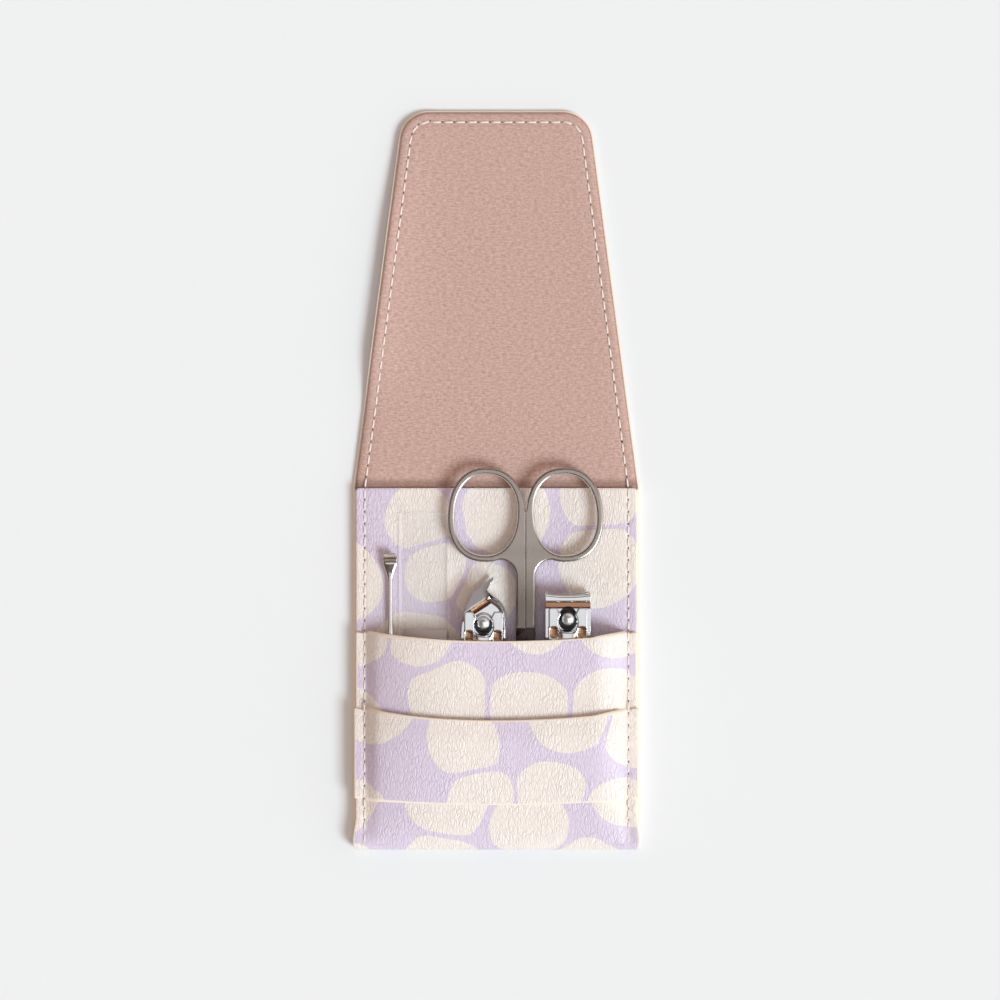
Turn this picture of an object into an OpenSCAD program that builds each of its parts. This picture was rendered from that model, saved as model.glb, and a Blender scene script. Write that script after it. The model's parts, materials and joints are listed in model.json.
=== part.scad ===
// Manicure set case: a folding case with a pocket, a closure band and a tapered flap,
// lying open on its back with its tools in the pocket. X runs across the case, Y towards
// the tip of the flap, Z up out of the back. The origin is the middle of the open case,
// on the surface that it lies on. All sizes are in millimetres.

/* [Case] */
// Width of the case
case_w = 89; // [87:0.5:96]
// Length of the back, from the bottom fold to the lower crease
body_len = 120.3; // [118:0.1:132]
// Length of the flap, from the upper crease to its tip
flap_len = 96.5; // [80:0.5:104]
// Distance from the lower crease down to where the sides begin to taper
taper_start = 8.1; // [5:0.1:11]
// Width of the flap at its tip, between the lines of its tapered sides
tip_w = 58.2; // [48:0.2:70]
// Radius of the two corners of the tip
tip_r = 9.5; // [6:0.5:14]
// Room between the closed flap and the top of the closure band
flap_room = 0.6; // [0.4:0.1:3]
// Gap between two panels at a crease, where only the folded leather runs on
crease_gap = 0.2; // [0.1:0.1:0.6]

/* [Layers] */
// Thickness of the outer leather, which also makes the bottom fold and the pocket
shell_t = 1.1; // [0.8:0.1:1.4]
// Thickness of the stiffening board
board_t = 0.8; // [0.6:0.1:1.2]
// Thickness of the lining cloth
lining_t = 0.5; // [0.3:0.1:0.8]
// Thickness of the inner panel that the tools lie on
panel_t = 1; // [0.8:0.1:1.4]
// Thickness of the closure band
band_t = 1.1; // [0.8:0.1:1.4]
// How far the leather stands out past the lining
lining_inset = 0.6; // [0.3:0.1:1.5]
// How far the leather stands out past the board
board_inset = 1.2; // [0.8:0.1:3]
// How far the leather stands out past the inner panel and the pocket, at each side
panel_inset = 1; // [0.5:0.1:1.5]

/* [Pocket and band] */
// Height of the middle of the pocket's mouth above the bottom fold
mouth_h = 65.2; // [63:0.1:68]
// How much higher the mouth is at the sides than in the middle
mouth_curve = 2.4; // [1.6:0.2:5]
// Room between the stored levers and the pocket at its mouth
pocket_room = 0.7; // [0.6:0.1:1.5]
// Height of the middle of the band's upper edge above the bottom fold
band_top = 40.9; // [37:0.1:44]
// Height of the middle of the band's lower edge above the bottom fold
band_low = 14.7; // [12:0.1:18]
// How much higher the band's upper edge is at the sides than in the middle
band_top_curve = 3.1; // [1:0.1:4]
// How much higher the band's lower edge is at the sides than in the middle
band_low_curve = 1.7; // [1:0.1:3]
// Height of the slot under the band's upper edge, where the flap is tucked in
band_slot = 1.9; // [1.5:0.1:3]
// Gap under the band's lower edge
band_rest = 0.4; // [0.3:0.1:0.8]

/* [Stitching] */
// Distance from the edge of the leather to a row of stitches
seam_inset = 3.65; // [2.6:0.05:4]
// Length from one stitch to the next
stitch_pitch = 3.7; // [3:0.1:5]
// Length of the thread that shows in one stitch
stitch_len = 2.8; // [2:0.1:2.9]
// Thickness of the thread
thread_d = 0.5; // [0.3:0.05:0.7]

/* [Places of the tools] */
// Distance of the scissors' middle line from the middle of the case
scissors_x = 9; // [8:0.1:10]
// Gap between the scissors' shanks and the clipper at each side
shank_gap = 3; // [2.6:0.1:3.2]
// Gap between the pointed clipper and the file's sleeve
sleeve_gap = 3.9; // [3.2:0.1:4.2]
// Gap between the sleeve and the scoop of the ear pick
ear_gap = 0.35; // [0.3:0.05:0.6]
// How far the scissors' screw lies inside the pocket's mouth
screw_in = 4.8; // [3.6:0.1:6]
// How far the straight clipper's pin stands outside the pocket's mouth
straight_pin_out = 6.7; // [5.6:0.1:7.8]
// How far the pointed clipper's pin stands outside the pocket's mouth
pointed_pin_out = 5.5; // [4.5:0.1:6.3]
// How far the file's end stands outside the pocket's mouth
file_out = 3.2; // [2:0.1:6]
// How far the sleeve stands outside the pocket's mouth
sleeve_out = 39.2; // [30:0.1:42]
// How far the ear pick stands outside the pocket's mouth
ear_out = 26.9; // [20:0.1:32]

/* [Scissors] */
// Width of the two closed shanks together
shank_w = 6; // [5.4:0.1:6.4]
// Thickness of one blade
blade_t = 1.5; // [1.2:0.1:1.6]
// Gap between the two blades where they cross
blade_gap = 0.06; // [0.04:0.01:0.1]
// Length of a blade, from the screw to the tip
blade_len = 32; // [24:0.5:34]
// Distance from the screw up to where the blades are lapped to half thickness
lap_len = 8.4; // [7:0.1:10]
// Distance from the screw up to the middle of the finger rings
ring_up = 43.5; // [42.5:0.5:46]
// Width of a finger ring
ring_w = 23.5; // [21:0.5:24]
// Height of a finger ring
ring_h = 29.1; // [26:0.5:30]
// Width of the ring's metal, seen from above
ring_band = 2.05; // [1.6:0.05:2.4]
// Thickness of the ring's metal
ring_t = 2.2; // [1.8:0.1:2.6]
// How far the finger rings lean outwards, in degrees
ring_lean = 4; // [0:1:8]
// Radius of the shaft of the screw
screw_r = 1.2; // [1:0.05:1.4]
// Radius of the head of the screw
screw_head_r = 2.3; // [2:0.1:2.6]
// Height of the scissors above the inner panel, which is the thickness of the screw's foot
scissors_lift = 1.4; // [1.3:0.1:1.8]

/* [Clippers] */
// Width of a clipper
clipper_w = 14; // [13:0.2:14.4]
// Thickness of the metal of an arm
arm_t = 1.1; // [0.9:0.1:1.2]
// Length of a clipper behind its pin
tail_len = 49.6; // [44:0.2:52]
// Width of a clipper at its rear end
tail_w = 10.5; // [9:0.1:11.5]
// Length of the straight clipper in front of its pin
straight_nose = 8.4; // [8:0.1:9.5]
// Length of the pointed clipper in front of its pin
pointed_nose = 13.9; // [13:0.1:14.4]
// Height of the upper arm's middle above the clipper's foot, at the pin
arm_rise = 6.35; // [6.2:0.05:6.6]
// How far the upper cutting edge comes down when the clipper is squeezed
bite = 1.7; // [1:0.1:1.8]
// Radius of the pin's shaft
pin_r = 1.5; // [1.2:0.05:1.6]
// Radius of the pin's round head
pin_head_r = 1.95; // [1.6:0.05:2]
// Width of the lever at its two ears
lever_w = 12; // [11:0.2:12.4]
// Thickness of the lever
lever_t = 1; // [0.8:0.1:1.1]
// Length of the lever behind the pin
lever_len = 43; // [36:0.5:44]

/* [File, sleeve and ear pick] */
// Width of the sleeve
sleeve_w = 15.4; // [14.6:0.1:16]
// Thickness of the filled sleeve
sleeve_h = 1.4; // [1.3:0.05:1.5]
// Thickness of the sleeve's film
film_t = 0.2; // [0.15:0.05:0.25]
// Width of the nail file
file_w = 13; // [11:0.2:13.6]
// Thickness of the nail file
file_t = 0.7; // [0.5:0.05:0.75]
// Length of the nail file
file_len = 59; // [50:0.5:59]
// Width of the ear pick's scoop
scoop_w = 4.5; // [3.6:0.1:5]
// Diameter of the ear pick's handle
handle_d = 2; // [1.7:0.1:2.1]
// Diameter of the ear pick's neck
neck_d = 1.45; // [1.2:0.05:1.6]
// Length of the whole ear pick
ear_len = 81; // [60:0.5:81]

/* [Hidden] */
$fn = 48;

// colours
leather_c = [0.90, 0.84, 0.88];
print_c = [0.84, 0.78, 0.88];
lining_c = [0.80, 0.67, 0.62];
board_c = [0.62, 0.60, 0.57];
thread_c = [0.94, 0.89, 0.84];
steel_c = [0.62, 0.59, 0.56];
chrome_c = [0.86, 0.87, 0.89];
file_c = [0.55, 0.49, 0.46];
film_c = [0.90, 0.92, 0.93, 0.45];

// gaps that are the same wherever they occur
rest_gap = 0.1;     // between a tool and what it lies on, and between loose layers
run_gap = 0.05;     // round a shaft that turns in its hole
side_slope = 0.55;  // how the pocket rises from the bottom fold to its mouth, as a power
side_round = 1.9;   // how the pocket rises from its seams to its flat top, as a power
past = 5;           // how far a cutting solid runs past what it cuts

// levels of the layers
board_z = shell_t;
lining_z = board_z + board_t;
inner_z = lining_z + lining_t;
bed_z = inner_z + panel_t;
tool_z = bed_z + rest_gap;

// heights inside one clipper, above the foot of its pin
foot_t = 0.5;
low_z = foot_t + arm_t / 2;
rear_gap = 0.25;
rear_z = low_z + arm_t + rear_gap;
lever_z = arm_rise + 1.45;
lever_top = lever_z + lever_t / 2 - 0.2;
mouth_rise = lever_top + pocket_room;

// the bottom fold, half a tube round the edges of the inner layers
fold_in = (tool_z - shell_t) / 2;
fold_r = fold_in + shell_t;

// how high the pocket rises, for a share of the way from the bottom fold to its mouth
function rise_share(s) = mouth_rise * pow(max(0, min(1, s)), side_slope);
band_share = (band_top - fold_r) / (mouth_h - fold_r);
band_high_z = tool_z + rise_share(band_share) + shell_t + band_slot + band_t;

// places along the open case
spine_len = band_high_z - inner_z + flap_room;
total_len = body_len + spine_len + flap_len;
bottom_y = -total_len / 2;
fold_y = bottom_y + fold_r;
lower_crease_y = bottom_y + body_len;
upper_crease_y = lower_crease_y + spine_len;
tip_y = total_len / 2;
taper_y = lower_crease_y - taper_start;
mouth_y = bottom_y + mouth_h;
panel_half = case_w / 2 - panel_inset;
stitch_x = case_w / 2 - seam_inset;
flat_x = stitch_x - 1;

// places of the tools
straight_x = scissors_x + shank_w / 2 + shank_gap + clipper_w / 2;
pointed_x = scissors_x - shank_w / 2 - shank_gap - clipper_w / 2;
sleeve_x = pointed_x - clipper_w / 2 - sleeve_gap - sleeve_w / 2;
ear_x = sleeve_x - sleeve_w / 2 - ear_gap - scoop_w / 2;
screw_y = mouth_y - screw_in;
straight_y = mouth_y + straight_pin_out;
pointed_y = mouth_y + pointed_pin_out;
sleeve_low_y = fold_y + 6;
ear_top_y = mouth_y + ear_out;
ear_z = tool_z + handle_d / 2;
bulge_left = pointed_x - clipper_w / 2 - 0.7;
bulge_right = straight_x + clipper_w / 2 + 0.7;

// ---- the case's outline ----

taper_angle = atan((case_w - tip_w) / 2 / (tip_y - taper_y));

// half the width of the leather at y
function half_w(y) = y <= taper_y ? case_w / 2 : tip_w / 2 + (tip_y - y) * tan(taper_angle);

// the right edge of the case, an inset inside the leather, at y
function edge_x(inset, y) = half_w(y) - inset / (y <= taper_y ? 1 : cos(taper_angle));

// a strip across the case from y0 to y1
function strip(inset, y0, y1) =
    let (middle = y0 < taper_y && y1 > taper_y ? [taper_y] : [],
         right = [for (y = concat([y0], middle, [y1])) [edge_x(inset, y), y]])
    concat(right, mirrored(right));

// the same points on the left, from last to first
function mirrored(points) = [for (i = [len(points) - 1:-1:0]) [-points[i].x, points[i].y]];

// the right corner of the tip, as an arc from the tapered side to the top edge
corner_x = tip_w / 2 - tip_r * (1 - sin(taper_angle)) / cos(taper_angle);
corner_steps = 10;
function tip_corner(inset) = [for (i = [0:corner_steps])
    let (a = taper_angle + (90 - taper_angle) * i / corner_steps)
    [corner_x + (tip_r - inset) * cos(a), tip_y - tip_r + (tip_r - inset) * sin(a)]];

// the flap's outline from y0 to the tip
function flap_outline(inset, y0) =
    let (right = concat([[edge_x(inset, y0), y0]], tip_corner(inset)))
    concat(right, mirrored(right));

module sheet(z, t, outline) {
    translate([0, 0, z]) linear_extrude(t) polygon(outline);
}

// ---- the case: back, spine and flap ----

back_end = lower_crease_y - crease_gap / 2;
spine_start = lower_crease_y + crease_gap / 2;
spine_end = upper_crease_y - crease_gap / 2;
flap_start = upper_crease_y + crease_gap / 2;

module back_shell() {
    color(leather_c) sheet(0, shell_t, strip(0, fold_y, back_end));
}

module back_board() {
    color(board_c) sheet(board_z, board_t, strip(board_inset, fold_y, back_end - board_inset));
}

module back_lining() {
    color(lining_c) sheet(lining_z, lining_t, strip(lining_inset, fold_y, back_end));
}

module inner_panel() {
    color(print_c) sheet(inner_z, panel_t, strip(panel_inset, fold_y, taper_y));
}

module spine_shell() {
    color(leather_c) sheet(0, shell_t, strip(0, spine_start, spine_end));
}

module spine_board() {
    color(board_c) sheet(board_z, board_t, strip(board_inset, spine_start, spine_end));
}

module spine_lining() {
    color(lining_c) sheet(lining_z, lining_t, strip(lining_inset, spine_start, spine_end));
}

module flap_shell() {
    color(leather_c) sheet(0, shell_t, flap_outline(0, flap_start));
}

module flap_board() {
    color(board_c) sheet(board_z, board_t, flap_outline(board_inset, flap_start + board_inset));
}

module flap_lining() {
    color(lining_c) sheet(lining_z, lining_t, flap_outline(lining_inset, flap_start));
}

// ---- the pocket and the closure band, curved over the tools ----

// how much of the pocket's rise there is at x: none at the seams, all of it over the clippers
function rise_across(x) =
    let (out = x < bulge_left ? (bulge_left - x) / (bulge_left + flat_x)
             : x > bulge_right ? (x - bulge_right) / (flat_x - bulge_right) : 0)
    out >= 1 ? 0 : pow(1 - pow(out, side_round), 1 / side_round);

// the underside of the pocket
function pocket_z(x, y) = tool_z + rise_across(x) * rise_share((y - fold_y) / (mouth_y - fold_y));

// a line across the case that is higher at the sides
function bowed_y(middle_y, curve, x) = middle_y + curve * pow(x / panel_half, 2);

// the columns of points across the pocket, closer together where it curves
side_steps = 8;
top_steps = 5;
function columns(half) = concat(
    [-half],
    [for (i = [0:side_steps]) bulge_left - (bulge_left + flat_x) * cos(90 * i / side_steps)],
    [for (i = [1:top_steps]) bulge_left + (bulge_right - bulge_left) * i / (top_steps + 1)],
    [for (i = [side_steps:-1:0]) bulge_right + (flat_x - bulge_right) * cos(90 * i / side_steps)],
    [half]);

// a closed skin between two grids of points, given as rows
module skin(under, over) {
    rows = len(under);
    cols = len(under[0]);
    size = rows * cols;
    // the number of a point: side 0 is under, side 1 is over
    function at(side, r, c) = side * size + r * cols + c;
    faces = concat(
        [for (r = [0:rows - 2], c = [0:cols - 2]) each [
            [at(0, r, c), at(0, r, c + 1), at(0, r + 1, c)],
            [at(0, r, c + 1), at(0, r + 1, c + 1), at(0, r + 1, c)],
            [at(1, r, c), at(1, r + 1, c), at(1, r, c + 1)],
            [at(1, r, c + 1), at(1, r + 1, c), at(1, r + 1, c + 1)]]],
        [for (c = [0:cols - 2]) each [
            [at(0, 0, c), at(1, 0, c), at(0, 0, c + 1)],
            [at(0, 0, c + 1), at(1, 0, c), at(1, 0, c + 1)],
            [at(0, rows - 1, c), at(0, rows - 1, c + 1), at(1, rows - 1, c)],
            [at(0, rows - 1, c + 1), at(1, rows - 1, c + 1), at(1, rows - 1, c)]]],
        [for (r = [0:rows - 2]) each [
            [at(0, r, 0), at(0, r + 1, 0), at(1, r, 0)],
            [at(0, r + 1, 0), at(1, r + 1, 0), at(1, r, 0)],
            [at(0, r, cols - 1), at(1, r, cols - 1), at(0, r + 1, cols - 1)],
            [at(0, r + 1, cols - 1), at(1, r, cols - 1), at(1, r + 1, cols - 1)]]]);
    polyhedron(points = concat([for (row = under) each row], [for (row = over) each row]),
        faces = faces);
}

fold_steps = 6;
pocket_rows = 10;

// one side of the pocket's leather: round the bottom fold, then up to the mouth
function pocket_side(lift, radius) = concat(
    [for (i = [0:fold_steps])
        let (a = -90 + 180 * i / fold_steps)
        [for (x = columns(panel_half)) [x, fold_y - radius * cos(a), fold_in + shell_t + radius * sin(a)]]],
    [for (i = [1:pocket_rows])
        let (share = pow(i / pocket_rows, 2))
        [for (x = columns(panel_half))
            let (y = fold_y + share * (bowed_y(mouth_y, mouth_curve, x) - fold_y))
            [x, y, pocket_z(x, y) + lift]]]);

module pocket_panel() {
    color(print_c) skin(pocket_side(0, fold_in), pocket_side(shell_t, fold_r));
}

band_rows = 5;

// one side of the band; it stands off the pocket in the middle and lies on it at the seams
function band_side(lift) = [for (i = [0:band_rows])
    [for (x = columns(case_w / 2))
        let (low = bowed_y(bottom_y + band_low, band_low_curve, x),
             high = bowed_y(bottom_y + band_top, band_top_curve, x),
             y = low + (high - low) * i / band_rows,
             gap = band_rest + (band_slot - band_rest) * i / band_rows)
        [x, y, pocket_z(x, y) + shell_t + gap * min(1, 2 * rise_across(x)) + lift]]];

module closure_band() {
    color(print_c) skin(band_side(0), band_side(band_t));
}

// ---- stitching ----

// one stitch of thread lying on the surface, centred on a point and turned in the plan
module stitch(x, y, z, turn) {
    translate([x, y, z + thread_d / 2]) rotate([0, 0, turn]) rotate([90, 0, 0])
        cylinder(h = stitch_len, d = thread_d, center = true, $fn = 6);
}

// the top of the layers at a side seam
function seam_top(y) =
    let (band_z = tool_z + shell_t + band_t)
    y > taper_y ? inner_z
    : y > bowed_y(mouth_y, mouth_curve, stitch_x) ? bed_z
    : y > bowed_y(bottom_y + band_top, band_top_curve, stitch_x) ? tool_z + shell_t
    : y > bowed_y(bottom_y + band_low, band_low_curve, stitch_x) ? band_z
    : tool_z + shell_t;

// the same under a whole stitch, with room where it climbs an edge
function stitch_base(y) = max(seam_top(y - stitch_len / 2 - 0.3), seam_top(y + stitch_len / 2 + 0.3));

module side_seam(side) {
    first_y = fold_y + stitch_pitch / 2;
    count = floor((back_end - stitch_pitch / 2 - first_y) / stitch_pitch);
    for (i = [0:count]) {
        y = first_y + i * stitch_pitch;
        stitch(side * edge_x(seam_inset, y), y, stitch_base(y), y > taper_y ? side * taper_angle : 0);
    }
}

module left_seam_stitching() {
    color(thread_c) side_seam(-1);
}

module right_seam_stitching() {
    color(thread_c) side_seam(1);
}

// stitches up both tapered sides from y0 to y1, evenly spaced
module tapered_rows(y0, y1) {
    count = floor((y1 - y0) / stitch_pitch);
    step = (y1 - y0) / count;
    for (side = [-1, 1], i = [0:count - 1]) {
        y = y0 + (i + 0.5) * step;
        stitch(side * edge_x(seam_inset, y), y, inner_z, side * taper_angle);
    }
}

module spine_stitching() {
    color(thread_c) tapered_rows(spine_start, spine_end);
}

module flap_stitching() {
    row_r = tip_r - seam_inset;
    corner_y = tip_y - tip_r;
    corner_len = row_r * (90 - taper_angle) * PI / 180;
    corner_count = max(1, round(corner_len / stitch_pitch));
    top_count = round(2 * corner_x / stitch_pitch);
    color(thread_c) {
        tapered_rows(flap_start, corner_y + row_r * sin(taper_angle));
        for (side = [-1, 1], i = [0:corner_count - 1]) {
            a = taper_angle + (90 - taper_angle) * (i + 0.5) / corner_count;
            stitch(side * (corner_x + row_r * cos(a)), corner_y + row_r * sin(a), inner_z, side * a);
        }
        for (i = [0:top_count - 1])
            stitch((2 * (i + 0.5) / top_count - 1) * corner_x, tip_y - seam_inset, inner_z, 90);
    }
}

// ---- bent metal ----

// the outline of a bent strip of metal seen from the side: points on its middle line are
// [y, z, thickness]
function bent(path) =
    let (n = len(path),
         normals = [for (i = [0:n - 1])
             let (a = path[max(0, i - 1)], b = path[min(n - 1, i + 1)], d = [b.x - a.x, b.y - a.y])
             [-d.y, d.x] / norm(d)])
    concat([for (i = [0:n - 1]) [path[i].x, path[i].y] + normals[i] * path[i].z / 2],
           [for (i = [n - 1:-1:0]) [path[i].x, path[i].y] - normals[i] * path[i].z / 2]);

// a side outline of [y, z] points, drawn out across the tool
module across(width, outline) {
    rotate([90, 0, 90]) linear_extrude(width, center = true) polygon(outline);
}

// ---- scissors ----

scissors_z = tool_z + scissors_lift;
full_t = 2 * blade_t + blade_gap;
ring_out = ring_w / 2 + 0.5;
fillet_r = 5;
half_gap = 0.04;
lap_slope = 2.9;
ring_low = ring_up - ring_h / 2 + 0.65;

// an oval with fuller corners than an ellipse, as a list of points
oval_power = 2.25;
function oval(w, h) = [for (i = [0:59])
    let (c = cos(6 * i), s = sin(6 * i))
    [w / 2 * sign(c) * pow(abs(c), 2 / oval_power), h / 2 * sign(s) * pow(abs(s), 2 / oval_power)]];

module ring_place() {
    translate([-ring_out, ring_up]) rotate(-ring_lean) children();
}

// the shank and the web that carries the ring, for the half whose ring is on the left
module shank_outline() {
    polygon(concat(
        [[-half_gap, lap_len], [-half_gap, ring_up + 1], [-ring_band, ring_up + 4], [-ring_out, ring_up]],
        [for (a = [90:-10:0])
            [-shank_w / 2 - fillet_r + fillet_r * cos(a), ring_low - fillet_r + fillet_r * sin(a)]],
        [[-shank_w / 2, lap_len]]));
}

// the blade and its lapped joint, which cross to the right of the screw
module blade_outline() {
    half = shank_w / 2;
    polygon([[-half, lap_len], [-half, -half], [-1.2, -half - 1.5], [-0.5, -blade_len * 0.55],
        [0.25, -blade_len], [0.8, -blade_len + 0.3], [2.4, -blade_len * 0.6], [half, -half - 1],
        [half, lap_len - lap_slope], [-half_gap, lap_len]]);
    translate([-half, lap_len - 1]) square([half - half_gap, 2]);
}

// one half of the scissors, with its screw at the origin and its blade in the given layer
module scissors_half(layer_z) {
    difference() {
        union() {
            translate([0, 0, (full_t - ring_t) / 2]) linear_extrude(ring_t) difference() {
                ring_place() polygon(oval(ring_w, ring_h));
                ring_place() polygon(oval(ring_w - 2 * ring_band, ring_h - 2 * ring_band));
            }
            linear_extrude(full_t) difference() {
                shank_outline();
                ring_place() polygon(oval(ring_w - 2 * ring_band, ring_h - 2 * ring_band));
            }
            translate([0, 0, layer_z]) linear_extrude(blade_t) blade_outline();
        }
        translate([0, 0, -past]) cylinder(h = full_t + 2 * past, r = screw_r + run_gap);
    }
}

module scissors_left_half() {
    color(steel_c) translate([scissors_x, screw_y, scissors_z]) scissors_half(0);
}

module scissors_right_half() {
    color(steel_c) translate([scissors_x, screw_y, scissors_z])
        mirror([1, 0, 0]) scissors_half(blade_t + blade_gap);
}

module scissors_screw() {
    head_t = 0.7;
    slot_w = 0.5;
    slot_deep = 0.3;
    top_z = full_t + blade_gap;
    color(steel_c) translate([scissors_x, screw_y, scissors_z]) difference() {
        union() {
            translate([0, 0, -scissors_lift]) cylinder(h = scissors_lift - blade_gap, r = screw_head_r);
            translate([0, 0, -scissors_lift]) cylinder(h = scissors_lift + top_z + head_t / 2, r = screw_r);
            translate([0, 0, top_z]) cylinder(h = head_t, r = screw_head_r);
        }
        translate([-past, -slot_w / 2, top_z + head_t - slot_deep]) cube([2 * past, slot_w, past]);
    }
}

// ---- clippers: the pin's axis is at x = 0, y = 0, and the pin's foot is at z = 0 ----

tail_r = tail_w / 2;
rivet_y = -tail_len + tail_r;
rivet_r = 1.4;
rivet_head_r = 2.2;
rivet_room = 0.12;
edge_t = 0.5;
edge_hollow = 0.8;
pin_window_r = pin_r + 0.6;

// the plan of a clipper behind its pin, as the left or right half from front to rear
function tail_side(half_front) = concat(
    [[half_front, 0], [half_front, -tail_len / 5]],
    [for (a = [0:-15:-90]) [tail_r * cos(a), rivet_y + tail_r * sin(a)]]);

function tail_mirrored(half_front) = [for (i = [len(tail_side(0)) - 1:-1:0])
    [-tail_side(half_front)[i].x, tail_side(half_front)[i].y]];

// the plan of the straight clipper, set back from its front edge
module straight_plan(back) {
    half = clipper_w / 2;
    polygon(concat([[half - 0.4, straight_nose - back], [half, straight_nose - back - 1]],
        tail_side(half), tail_mirrored(half),
        [[-half, straight_nose - back - 1], [-half + 0.4, straight_nose - back]]));
}

// the plan of the pointed clipper: a beak with a slanted edge on its left
module pointed_plan(back) {
    half = clipper_w / 2;
    polygon(concat([[2.6, pointed_nose - back], [1.9 - back / 2, pointed_nose - 3 - back],
        [1.5 - back / 2, pointed_nose - 4.8 - back], [3.4 - back / 2, pointed_nose - 6.5 - back],
        [5.4 - back / 2, pointed_nose - 8.2 - back], [6.6 - back / 3, pointed_nose - 10.6 - back]],
        tail_side(half), tail_mirrored(half),
        [[-6, pointed_nose - 10.7], [-3.3, pointed_nose - 4.85]]));
}

// length over which each clipper's arms are bent to their edges
straight_bend = 4.5;
pointed_bend = 9;

// how far each arm's edge is bent from the arm's middle; the straight edges meet when squeezed
upper_drop = 1.5;
pointed_lift = 2.5;
straight_lift = arm_rise - upper_drop - edge_t - bite - 0.15 - low_z;

// the side of the lower arm, level as far as the pin and then bent up to its edge
function lower_side(nose, bend, lift) = bent([
    [-tail_len, low_z, arm_t], [nose - bend, low_z, arm_t], [nose - bend * 0.55, low_z + lift * 0.08, arm_t],
    [nose - bend * 0.28, low_z + lift * 0.3, arm_t], [nose - bend * 0.1, low_z + lift * 0.64, arm_t * 0.8],
    [nose - 0.1, low_z + lift, edge_t]]);

// the side of the upper arm, riveted at the rear, sprung up at the pin and bent down to its edge
straight_back = 0.2;    // how far the upper edge stays behind the lower one
pointed_back = 1.9;
function upper_side(nose, bend) = bent([
    [-tail_len, rear_z, arm_t], [rivet_y + 4, rear_z, arm_t], [-0.6, arm_rise - 0.1, arm_t],
    [nose - bend * 0.75, arm_rise + 0.05, arm_t], [nose - bend * 0.4, arm_rise - 0.05, arm_t],
    [nose - bend * 0.14, arm_rise - 0.6, arm_t * 0.8], [nose + 0.1, arm_rise - upper_drop, edge_t]]);

module straight_place() {
    translate([straight_x, straight_y, tool_z]) children();
}

module pointed_place() {
    translate([pointed_x, pointed_y, tool_z]) children();
}

// a round hole through everything at y
module hole(y, r) {
    translate([0, y, -past]) cylinder(h = 4 * past, r = r);
}

// the hollow of the straight cutting edges, an arc across the clipper's width
module edge_cut(nose) {
    hollow_r = (pow(clipper_w / 2, 2) + pow(edge_hollow, 2)) / (2 * edge_hollow);
    translate([0, nose - edge_hollow + hollow_r, -past])
        cylinder(h = 4 * past, r = hollow_r, $fn = 96);
}

module lower_holes() {
    hole(0, pin_r + run_gap);
    hole(rivet_y, rivet_r);
}

module upper_holes() {
    hole(0, pin_window_r);
    hole(rivet_y, rivet_r + 0.2);
}

module straight_lower_jaw() {
    color(chrome_c) straight_place() difference() {
        intersection() {
            across(clipper_w, lower_side(straight_nose, straight_bend, straight_lift));
            linear_extrude(4 * past) straight_plan(0);
        }
        lower_holes();
        edge_cut(straight_nose);
    }
}

module straight_upper_jaw() {
    color(chrome_c) straight_place() difference() {
        intersection() {
            across(clipper_w, upper_side(straight_nose - straight_back, straight_bend));
            linear_extrude(4 * past) straight_plan(straight_back);
        }
        upper_holes();
        edge_cut(straight_nose - straight_back);
    }
}

module pointed_lower_jaw() {
    color(chrome_c) pointed_place() difference() {
        intersection() {
            across(clipper_w, lower_side(pointed_nose, pointed_bend, pointed_lift));
            linear_extrude(4 * past) pointed_plan(0);
        }
        lower_holes();
    }
}

module pointed_upper_jaw() {
    color(chrome_c) pointed_place() difference() {
        intersection() {
            across(clipper_w, upper_side(pointed_nose - pointed_back, pointed_bend));
            linear_extrude(4 * past) pointed_plan(1);
        }
        upper_holes();
    }
}

// the pin: a foot under the lower arm, a shaft, and a round head with a notch for the lever
notch_z = lever_z - 0.15;
tongue_w = 1.8;
tongue_t = 0.7;
module clipper_pin() {
    foot_r = 3;
    head_z = lever_z + 0.1;
    difference() {
        union() {
            cylinder(h = foot_t - rest_gap, r = foot_r);
            cylinder(h = head_z, r = pin_r);
            translate([0, 0, head_z]) sphere(r = pin_head_r);
        }
        translate([-tongue_w / 2 - rest_gap, -past, notch_z - tongue_t / 2 - rest_gap])
            cube([tongue_w + 2 * rest_gap, past - 0.4, tongue_t + 2 * rest_gap]);
    }
}

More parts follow.
